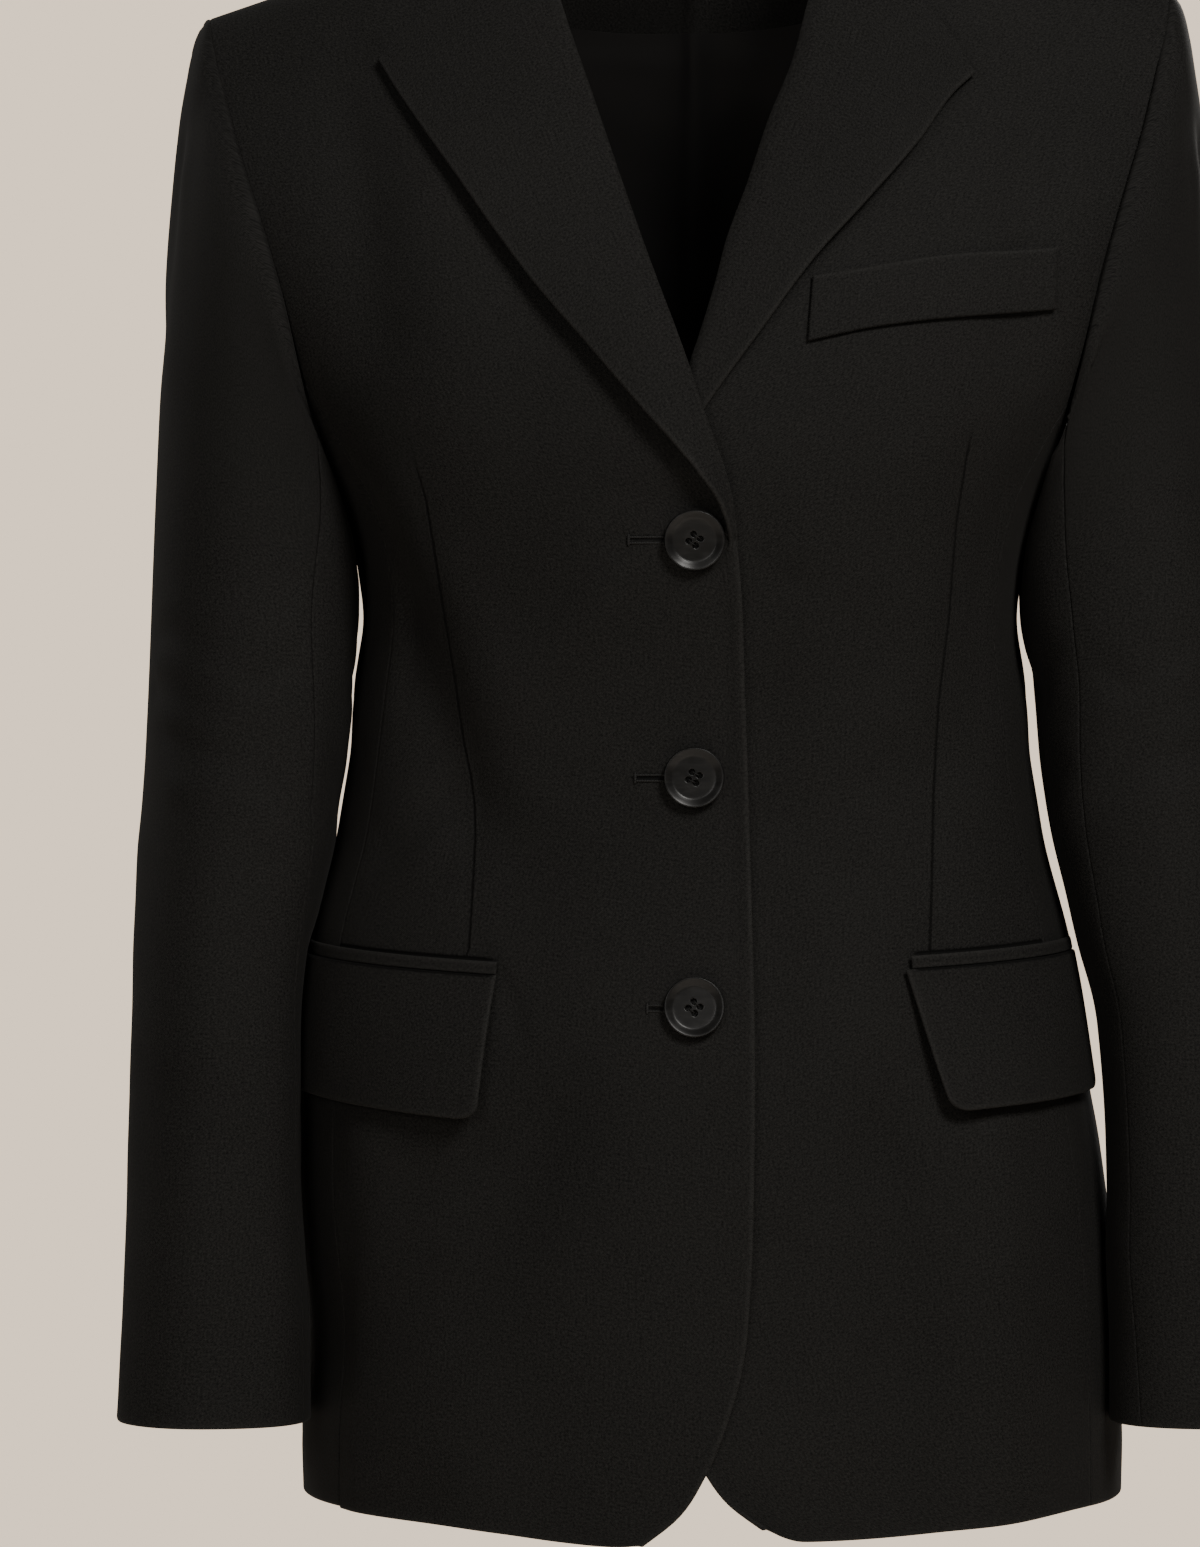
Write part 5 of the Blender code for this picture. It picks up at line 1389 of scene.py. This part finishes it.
def tube(name, path, normals, radius, closed=False):
    """A round cord of thread along a path: each point is its path's point plus the cosine of a
    turn times the path's side direction and the sine times its normal, times the radius there."""
    if closed:
        ahead = unit(np.roll(path, -1, axis=0) - np.roll(path, 1, axis=0))
    else:
        ahead = unit(np.gradient(path, axis=0))
    aside = unit(np.cross(normals, ahead))[:, None]
    over = np.cross(ahead, aside[:, 0])[:, None]
    turn = np.linspace(0.0, 2.0 * math.pi, CORD_SIDES, endpoint=False)
    radius = np.broadcast_to(radius, len(path))[:, None, None]
    ring = np.cos(turn)[None, :, None] * aside + np.sin(turn)[None, :, None] * over
    points = (path[:, None] + radius * ring).reshape(-1, 3)
    run = run_along(path)
    uv = np.stack(np.broadcast_arrays(run[:, None], turn[None] * radius[..., 0]), axis=-1)
    uv = uv.reshape(-1, 2)
    index = np.arange(len(points)).reshape(len(path), CORD_SIDES)
    if closed:
        index = np.concatenate([index, index[:1]])
    after = np.roll(index, -1, axis=1)
    faces = np.stack([index[:-1], after[:-1], after[1:], index[1:]], axis=-1)[..., ::-1]
    faces = faces.reshape(-1, 4).tolist()
    if not closed:
        # Each end's ring is drawn together to its middle.
        middle = len(points)
        points = np.concatenate([points, path[[0, -1]]])
        uv = np.concatenate([uv, [(run[0], 0.0), (run[-1], 0.0)]])
        for first, second, corner in ((index[0], after[0], middle),
                                      (after[-1], index[-1], middle + 1)):
            faces += [[*pair, corner] for pair in zip(first.tolist(), second.tolist())]
    piece = write_mesh(name, points, faces, ["thread"], None, uv)
    return piece


def button_piece(name, level, turn):
    """A turned button: its profile carried round its axis, and four pits sunk as holes.

    A point's height is its profile's, less the depth of a hole times a smooth step of the
    distance to that hole's middle.
    """
    share = np.linspace(0.0, 1.0, BUTTON_SPREAD * len(BUTTON_PROFILE))
    radius, height = through(BUTTON_PROFILE[None].repeat(len(share), axis=0), share).T
    radius = np.clip(radius, 0.0, 1.0)[1:-1, None] * BUTTON_RADIUS
    rounds = np.radians(np.linspace(0.0, 360.0, BUTTON_ROUNDS, endpoint=False))
    x, y = radius * np.cos(rounds), radius * np.sin(rounds)
    z = np.broadcast_to(height[1:-1, None], x.shape)
    on_face = share[1:-1, None] < 0.5
    for quarter in range(4):
        angle = math.radians(turn + 90.0 * quarter)
        away = np.hypot(x - HOLE_OFF * math.cos(angle), y - HOLE_OFF * math.sin(angle))
        z = z - on_face * HOLE_DEPTH * ease((HOLE_OUTER * HOLE_RADIUS - away)
                                            / (HOLE_SLOPE * HOLE_RADIUS))
    local = np.concatenate([np.stack([x, y, z], axis=-1).reshape(-1, 3),
                            [(0.0, 0.0, height[0]), (0.0, 0.0, height[-1])]])
    index = np.arange(x.size).reshape(x.shape)
    after = np.roll(index, -1, axis=1)
    quads = np.stack([index[:-1], index[1:], after[1:], after[:-1]], axis=-1).reshape(-1, 4)
    fans = [np.stack([np.full(BUTTON_ROUNDS, middle), first, second], axis=-1).tolist()
            for middle, first, second in ((x.size, index[0], after[0]),
                                          (x.size + 1, after[-1], index[-1]))]
    centre, axes = button_seat(level)
    piece = write_mesh(name, centre + local @ axes, quads.tolist() + fans[0] + fans[1], ["horn"])
    return piece


def button_seat(level):
    """The middle of a button's back, and its three axes as rows, the last pointing out."""
    centre = dressed_front(np.zeros(1), np.array([level]))[0]
    normal = outward(*place(np.zeros(1), np.array([level])))[0]
    rounds = np.radians(np.arange(0.0, 360.0, 30.0))
    rim = dressed_front(BUTTON_RADIUS * np.cos(rounds), level + BUTTON_RADIUS * np.sin(rounds))
    highest = max(0.0, ((rim - centre) @ normal).max())
    right = unit(np.cross((0.0, 0.0, 1.0), -normal))
    right = -right if right[0] < 0.0 else right
    axes = np.array([right, np.cross(normal, right), normal])
    return centre + normal * (highest + BUTTON_GAP), axes


def button_thread(name, level, turn):
    """Two bars of thread over the face: each a half sine that rises out of one hole and sinks
    into the next. A shank of wound thread joins the button's back to its cloth."""
    centre, axes = button_seat(level)
    t = np.linspace(0.0, 1.0, BAR_PLACES)
    rise = BAR_FOOT + BAR_RISE * np.sin(math.pi * t) ** BAR_ROUND
    for bar in (0, 1):
        first, last = (math.radians(turn + 180.0 * bar + quarter) for quarter in (0.0, 90.0))
        start, end = (HOLE_OFF * np.array([math.cos(a), math.sin(a)]) for a in (first, last))
        local = np.column_stack([blend(start, end, t[:, None]), rise])
        tube(f"{name}_{bar + 1}", centre + local @ axes, axes[2], THREAD_RADIUS)
    height = np.linspace(*SHANK_ENDS, SHANK_PLACES)
    radius = SHANK_RADIUS * (1.0 - SHANK_WAVE + SHANK_WAVE * np.cos(height * SHANK_TURNS))
    tube(f"{name}_shank", centre + height[:, None] * axes[2], axes[1], radius)


def sewn(name, x, z, radius, closed=False):
    """A cord of thread that lies on the lapping front."""
    normals = outward(*place(x, z))
    return tube(name, dressed_front(x, z) + normals * STITCH_LIFT, normals, radius, closed)


def stitched(radius, share, turns):
    """A cord's radius where each stitch makes it thicker by a share."""
    return radius * (1.0 - share + share * np.abs(np.sin(turns)))


def buttonhole(name, level, tack):
    """The stitched edge of a buttonhole: a cord round a long slot, thicker at every stitch, and
    a bar tack across its end."""
    turn = np.linspace(0.0, 2.0 * math.pi, SLOT_PLACES, endpoint=False)
    half, middle = (HOLE_END - tack) / 2.0, (HOLE_END + tack) / 2.0
    straight = (half - SLOT_ROUND) * np.clip(SLOT_LONG * np.cos(turn), -1.0, 1.0)
    x = middle + straight + SLOT_ROUND * np.cos(turn)
    z = level - HOLE_DROP + HOLE_HALF_HEIGHT * np.clip(SLOT_SQUARE * np.sin(turn), -1.0, 1.0)
    sewn(name, x, z, stitched(STITCH_RADIUS, 0.14, turn * SLOT_STITCHES), closed=True)
    t = np.linspace(-1.0, 1.0, TACK_PLACES)
    z = level - HOLE_DROP + TACK_HALF * t
    radius = TACK_RADIUS * np.sqrt(1.02 - t * t) ** 0.5
    sewn(f"{name}_tack", np.full_like(z, tack), z, stitched(radius, 0.12, t * TACK_STITCHES))


# Settings and operators

def colour(name, words, default, most=1.0):
    """A colour's setting."""
    return FloatVectorProperty(name=name, description=words, subtype="COLOR", default=default,
                               min=0.0, max=most)


def amount(name, words, default, **more):
    """A setting of one number, 0 or more unless it says otherwise."""
    return FloatProperty(name=name, description=words, default=default, **{"min": 0.0, **more})


class BlazerCloth(bpy.types.PropertyGroup):
    """Cloth and lining."""
    wool: colour("Wool", "Colour of the twill", (0.0101, 0.0098, 0.0092))
    lining: colour("Lining", "Colour of the satin inside", (0.0075, 0.0072, 0.0072))
    twill_pitch: amount("Twill pitch", "Distance between two twill ribs", 0.00062,
                        unit="LENGTH", min=0.0003, max=0.003, precision=5)
    twill_relief: amount("Twill relief", "Height of the ribs in millimetres", 0.035, max=0.3)
    gloss: amount("Gloss", "Specular level of the pressed cloth", 0.09, subtype="FACTOR", max=1.0)
    sheen: amount("Sheen", "Soft light on the nap at a slant", 0.015, subtype="FACTOR", max=1.0)
    pitch: amount("Mesh step", "Distance between the rows of a cloth mesh", 0.0029,
                  unit="LENGTH", min=0.001, max=0.02, precision=5)


class BlazerTrim(bpy.types.PropertyGroup):
    """Buttons."""
    horn: colour("Horn", "Colour of the buttons", (0.0085, 0.0083, 0.008))


class BlazerStage(bpy.types.PropertyGroup):
    """Floor, light and camera."""
    backdrop: colour("Backdrop", "Colour of the pale surroundings", (1.38, 1.125, 0.86), 2.0)
    room: colour("Room", "Colour of the light that the room throws back", (1.0, 0.95, 0.88))
    room_light: amount("Room light", "Strength of the light that the room throws back", 0.038)
    floor: colour("Floor colour", "Colour of the floor", (0.94, 0.86, 0.77))
    floor_height: amount("Floor", "Height of the floor", -1.45, unit="LENGTH", min=-10.0)
    key_power: amount("Key light", "Power of the large soft light", 84.0, unit="POWER")
    fill_power: amount("Fill light", "Power of the weak light on the other side", 21.0,
                       unit="POWER")
    back_power: amount("Back light", "Power of the larger of the two lights behind", 95.0,
                       unit="POWER")
    camera_place: FloatVectorProperty(
        name="Camera", description="Where the camera stands", subtype="TRANSLATION",
        unit="LENGTH", default=(-0.040, -2.500, -0.382))
    lens: amount("Lens", "Focal length in millimetres for a picture as high as the sensor",
                 SENSOR * CAMERA_FAR / SEEN_HEIGHT, min=10.0)


SIDES = ((-1, "right"), (1, "left"))


def pitch():
    """The distance between the rows of a cloth mesh, in millimetres."""
    return bpy.context.scene.blazer_cloth.pitch / METRES


def front_line(dart, points):
    """A dart's drawn line on a front."""
    off, share = distance_to(dart, points[..., 0], points[..., 2])
    return drawn_line(off, ease(share / DART_FADE))


class AddFronts(bpy.types.Operator):
    """Both fronts, with their darts, facings, soft folds and the jets of their pockets"""
    bl_idname = "blazer.add_fronts"
    bl_label = "Fronts"

    def execute(self, context):
        for side, hand in SIDES:
            creases, dart, seams, free = (
                (CREASES_RIGHT, DART_RIGHT, "lt", "r") if side < 0
                else (CREASES_LEFT, DART_LEFT, "rt", "l")
            )

            def lines(points):
                # Painted shade: the jet's upper edge and the buttonhole slits get dark lines in the
                # wool's colour.
                drawn = [jet_edge(side, hand, 1.0)]
                if side < 0:
                    drawn += [np.array([(x, level - HOLE_DROP) for x in (tack, HOLE_END)])
                              for level, tack in zip(BUTTON_LEVELS, HOLE_TACKS)]
                return [("dart", *front_line(dart, points)), painted_shade_lines(points, drawn)]

            def relief(points, edges):
                x, z = points[..., 0], points[..., 2]
                off, shown = front_line(dart, points)
                height = strokes(creases, x, z) + swell(x, z, 1.0 + side)
                height = height * away_from_seams(edges, seams)
                height = height + puckers(edges, seams[0], 1.0) + edge_roll(edges[free], z)
                return height + DART_VALLEY * shown * np.exp(-((off / DART_WIDTH) ** 2))

            def inside(points, edges):
                return (edges[free] > FACING) & (edges["b"] > TURN_UP)

            made = cloth_piece(f"front_cloth_{hand}", front_point(side), pitch(), CLOTH,
                               WOOL_AND_LINING, 1.0, seams, relief, inside, lines)
            jet, _, _ = cloth_piece(f"jet_cloth_{hand}", strip_point(side, POCKETS[hand][0]),
                                    JET_STEP, JET_CLOTH, seams="lr")
            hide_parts(f"jet_{hand}")
            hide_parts(f"front_{hand}")
        return {"FINISHED"}


class AddSides(bpy.types.Operator):
    """Both side panels, between the fronts and the backs"""
    bl_idname = "blazer.add_sides"
    bl_label = "Side panels"

    def execute(self, context):
        for side, hand in SIDES:
            def relief(points, edges):
                y, z = points[..., 1], points[..., 2]
                height = strokes(CREASES_SIDE, y, z) + swell(y, z, 3.0 + side)
                return creased(height, edges, "lr", 2.0)

            made = cloth_piece(f"side_cloth_{hand}", side_panel_point(side), pitch(), CLOTH,
                               WOOL_AND_LINING, 1.0, "lrt", relief, above_turn_up)
            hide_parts(f"side_panel_{hand}")
        return {"FINISHED"}


def back_creases(points):
    """Height of the backs' creases, a little weaker on the left."""
    x, z = points[..., 0], points[..., 2]
    return strokes(CREASES_BACK, np.abs(x), z) * np.where(x < 0.0, 1.0, 0.8)


class AddBacks(bpy.types.Operator):
    """Both backs, joined along the centre back seam"""
    bl_idname = "blazer.add_backs"
    bl_label = "Backs"

    def execute(self, context):
        for side, hand in SIDES:
            def relief(points, edges):
                uneven = swell(np.abs(points[..., 0]), points[..., 2], 5.0 + side)
                return creased(back_creases(points) + uneven, edges, "lrt", 4.0)

            made = cloth_piece(f"back_cloth_{hand}", back_point(side), pitch(), CLOTH,
                               WOOL_AND_LINING, 1.0, "lrt", relief, above_turn_up)
            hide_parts(f"back_{hand}")
        return {"FINISHED"}


def lining_point(u, v):
    """The back's lining: u from the right side seam over the centre back to the left one.

    It lies inside the backs, and further in by a bell of the distance to the middle: the pleat.
    """
    part = np.where(u < 0.5, 2.0 * u, 2.0 * u - 1.0)
    v = LINING_LOW + LINING_SPAN * v
    right, left = (back_point(side)(1.0 - part, v) for side in (-1, 1))
    both = np.where((u < 0.5)[:, None], right, left)
    x, y, z = both.T
    inward = unit(np.stack([-x, MIDDLE - y, 0.0 * x], axis=-1))
    pleat = PLEAT_DEPTH * np.exp(-((x / PLEAT_WIDTH) ** 2)) * (1.0 + 0.5 * np.tanh(x / PLEAT_TURN))
    pleat = pleat * ease((z - PLEAT_FADES) / PLEAT_FADE)
    return both + inward * (LINING_IN - pleat)[:, None]


class AddLining(bpy.types.Operator):
    """The back's lining, with its centre pleat and the wool facing at the neck"""
    bl_idname = "blazer.add_lining"
    bl_label = "Back lining"

    def execute(self, context):
        def relief(points, edges):
            """The lining gives way to the back's troughs."""
            height = swell(points[..., 0], points[..., 2], 8.0)
            return height + np.minimum(back_creases(points), 0.0)

        made = cloth_piece("back_lining", lining_point, LINING_STEPS * pitch(), LINING_CLOTH,
                           WOOL_AND_LINING, -1.0, "", relief,
                           lambda points, edges: below_row(points, NECK_FACING))
        hang(made)
        return {"FINISHED"}


class AddLapels(bpy.types.Operator):
    """Both notched lapels, rolled over the fronts"""
    bl_idname = "blazer.add_lapels"
    bl_label = "Lapels"

    def execute(self, context):
        def relief(points, edges):
            uneven = swell(points[..., 0], points[..., 2], 2.0) * LAPEL_SWELL
            return uneven * away_from_seams(edges, "lrbt")

        for side, hand in SIDES:
            made = cloth_piece(f"lapel_cloth_{hand}", lapel_point(side), LAPEL_STEP, LAPEL,
                               facing=float(side), seams="t", relief=relief)
            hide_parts(f"lapel_{hand}")
        return {"FINISHED"}


class AddCollar(bpy.types.Operator):
    """The collar, from one notch round the neck to the other"""
    bl_idname = "blazer.add_collar"
    bl_label = "Collar"

    def execute(self, context):
        made = cloth_piece("collar_cloth", collar_point, COLLAR_STEP, COLLAR_CLOTH, seams="b")
        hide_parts("collar")
        return {"FINISHED"}


class AddSleeves(bpy.types.Operator):
    """Both two-piece sleeves"""
    bl_idname = "blazer.add_sleeves"
    bl_label = "Sleeves"

    def execute(self, context):
        for side, hand in SIDES:
            for kind in ("top", "under"):
                def relief(points, edges):
                    if kind == "top":
                        around = ARM_RADIUS * math.radians(HIND_SEAM - 360.0) + edges["l"]
                    else:
                        around = ARM_RADIUS * math.radians(HIND_SEAM) - edges["r"]
                    height = strokes(CREASES_SLEEVE, around, edges["b"])
                    uneven = swell(around, edges["b"], 6.0 + side)
                    return creased(height + uneven, edges, "lrt", 6.0)

                made = cloth_piece(f"{kind}_sleeve_cloth_{hand}", sleeve_half(side, kind), pitch(),
                                   CLOTH, WOOL_AND_LINING, float(-side), "lrt", relief,
                                   above_turn_up, None, HEAD_REACH_IN)
                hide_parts(f"{kind}_sleeve_{hand}")
        return {"FINISHED"}


class AddPockets(bpy.types.Operator):
    """The flaps of the hip pockets, and the breast welt"""
    bl_idname = "blazer.add_pockets"
    bl_label = "Pockets"

    def execute(self, context):
        def relief(points, edges):
            uneven = swell(points[..., 0], points[..., 2], 4.0) * ease(edges["t"] / FLAP_STILL)
            return uneven + FLAP_FLARE * ease(edges["t"] / FLAP_HEIGHT)

        for side, hand in SIDES:
            flap = strip_point(side, POCKETS[hand][1])
            # Painted shade: the flap's top gets a dark line in the wool's colour under the jet.
            made = cloth_piece(f"flap_cloth_{hand}", flap, FLAP_STEP, FLAP_CLOTH, seams="t",
                               relief=relief, line=lambda points:
                               [painted_shade_lines(points, [jet_edge(side, hand, 0.0)])])
            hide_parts(f"flap_{hand}")
        made = cloth_piece("breast_welt_cloth", breast_welt_point, FLAP_STEP, WELT_CLOTH,
                           seams="lrb")
        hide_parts("breast_welt")
        return {"FINISHED"}


class AddButtons(bpy.types.Operator):
    """Three buttons with their thread, and their stitched buttonholes"""
    bl_idname = "blazer.add_buttons"
    bl_label = "Buttons and buttonholes"

    def execute(self, context):
        buttons = zip(BUTTON_LEVELS, BUTTON_TURNS, HOLE_TACKS)
        for number, (level, turn, tack) in enumerate(buttons, 1):
            piece = button_piece(f"horn_button_{number}", level, turn)
            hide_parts(f"button_{number}")
            button_thread(f"button_thread_{number}", level, turn)
            buttonhole(f"buttonhole_{number}", level, tack)
        return {"FINISHED"}


# Where the lights stand and how wide they are, with their power's setting and share of it.
LIGHTS = (
    ("key light", (1.15, -2.2, 1.5), 0.9, "key_power", 1.0),
    ("fill light", (-1.3, -2.6, 0.4), 1.4, "fill_power", 1.0),
    ("back light right", (-2.2, 1.5, 1.0), 1.4, "back_power", 0.25),
    ("back light left", (1.3, 2.7, 1.4), 1.2, "back_power", 1.0),
)
LIGHT_AIM, LIGHT_COLOUR = (0.0, 0.0, -0.35), (1.0, 0.975, 0.94)
FLOOR_RADIUS, FLOOR_CORNERS = 3000.0, 96


def soft_light(name, stands, size, power):
    """A square area light aimed at the jacket."""
    light = bpy.data.lights.new(name, "AREA")
    light.shape, light.size, light.energy, light.color = "SQUARE", size, power, LIGHT_COLOUR
    piece = linked(name, light)
    piece.location = stands
    back = unit(np.array(stands, float) - np.array(LIGHT_AIM, float))
    piece.rotation_euler = Vector(back).to_track_quat("Z", "Y").to_euler()
    piece.visible_camera = False


class AddStage(bpy.types.Operator):
    """The pale floor and surroundings, the soft light and the camera"""
    bl_idname = "blazer.add_stage"
    bl_label = "Stage"

    def execute(self, context):
        scene = context.scene
        stage = scene.blazer_stage
        scene.world = world = scene.world or bpy.data.worlds.new("pale room")
        world.use_nodes = True
        world.node_tree.nodes.clear()
        room = Nodes(world.node_tree)
        seen = room.node("ShaderNodeLightPath", {}, {}, "Is Camera Ray")
        around, behind = (
            room.node("ShaderNodeBackground", {}, {"Color": (*shade, 1.0), "Strength": strength})
            for shade, strength in ((stage.room, stage.room_light), (stage.backdrop, 1.0))
        )
        both = room.node("ShaderNodeMixShader", {}, {0: seen, 1: around, 2: behind})
        room.node("ShaderNodeOutputWorld", {}, {"Surface": both}, None)

        rounds = np.linspace(0.0, 2.0 * math.pi, FLOOR_CORNERS, endpoint=False)
        height = np.full(FLOOR_CORNERS, stage.floor_height / METRES)
        disc = np.stack([FLOOR_RADIUS * np.cos(rounds), FLOOR_RADIUS * np.sin(rounds), height], -1)
        finish = Finish("pale floor")
        paper = finish.noise(finish.place(), 3.0, 3.0)
        mesh = bpy.data.meshes.new("floor")
        mesh.from_pydata(disc * METRES, [], [list(range(FLOOR_CORNERS))])
        mesh.materials.append(finish.done(
            Base_Color=finish.mix(paper, stage.floor, 0.97, 1.03), Roughness=0.9))
        floor = linked("floor", mesh)

        for name, stands, size, power, share in LIGHTS:
            soft_light(name, stands, size, share * getattr(stage, power))

        camera = bpy.data.cameras.new("camera")
        camera.sensor_fit = "VERTICAL"
        camera.sensor_height = camera.sensor_width = SENSOR
        camera.lens = stage.lens
        camera.clip_end = 100.0
        scene.camera = piece = linked("camera", camera)
        piece.location = stage.camera_place
        piece.rotation_euler = (math.pi / 2.0, 0.0, 0.0)
        return {"FINISHED"}


STEPS = (AddStage, AddFronts, AddSides, AddBacks, AddLining, AddLapels, AddCollar, AddSleeves,
         AddPockets, AddButtons)


class BlazerPanel(bpy.types.Panel):
    """The steps of the jacket and its settings"""
    bl_idname = "VIEW3D_PT_blazer"
    bl_label = "Single Breasted Blazer"
    bl_space_type = "VIEW_3D"
    bl_region_type = "UI"
    bl_category = "Blazer"

    def draw(self, context):
        for step in STEPS:
            self.layout.operator(step.bl_idname)
        for group in (context.scene.blazer_cloth, context.scene.blazer_trim,
                      context.scene.blazer_stage):
            for name in group.bl_rna.properties.keys():
                if name not in ("rna_type", "name"):
                    self.layout.prop(group, name)


GROUPS = {"blazer_cloth": BlazerCloth, "blazer_trim": BlazerTrim, "blazer_stage": BlazerStage}


def register():
    """Makes the settings, steps and panel known."""
    for made in (*GROUPS.values(), *STEPS, BlazerPanel):
        bpy.utils.register_class(made)
    for name, group in GROUPS.items():
        setattr(bpy.types.Scene, name, PointerProperty(type=group))


def unregister():
    """Takes them away again."""
    for name in GROUPS:
        delattr(bpy.types.Scene, name)
    for made in reversed((*GROUPS.values(), *STEPS, BlazerPanel)):
        bpy.utils.unregister_class(made)


def main():
    """Takes every step in order."""
    register()
    for step in STEPS:
        group, name = step.bl_idname.split(".")
        getattr(getattr(bpy.ops, group), name)()


if __name__ == "__main__":
    main()
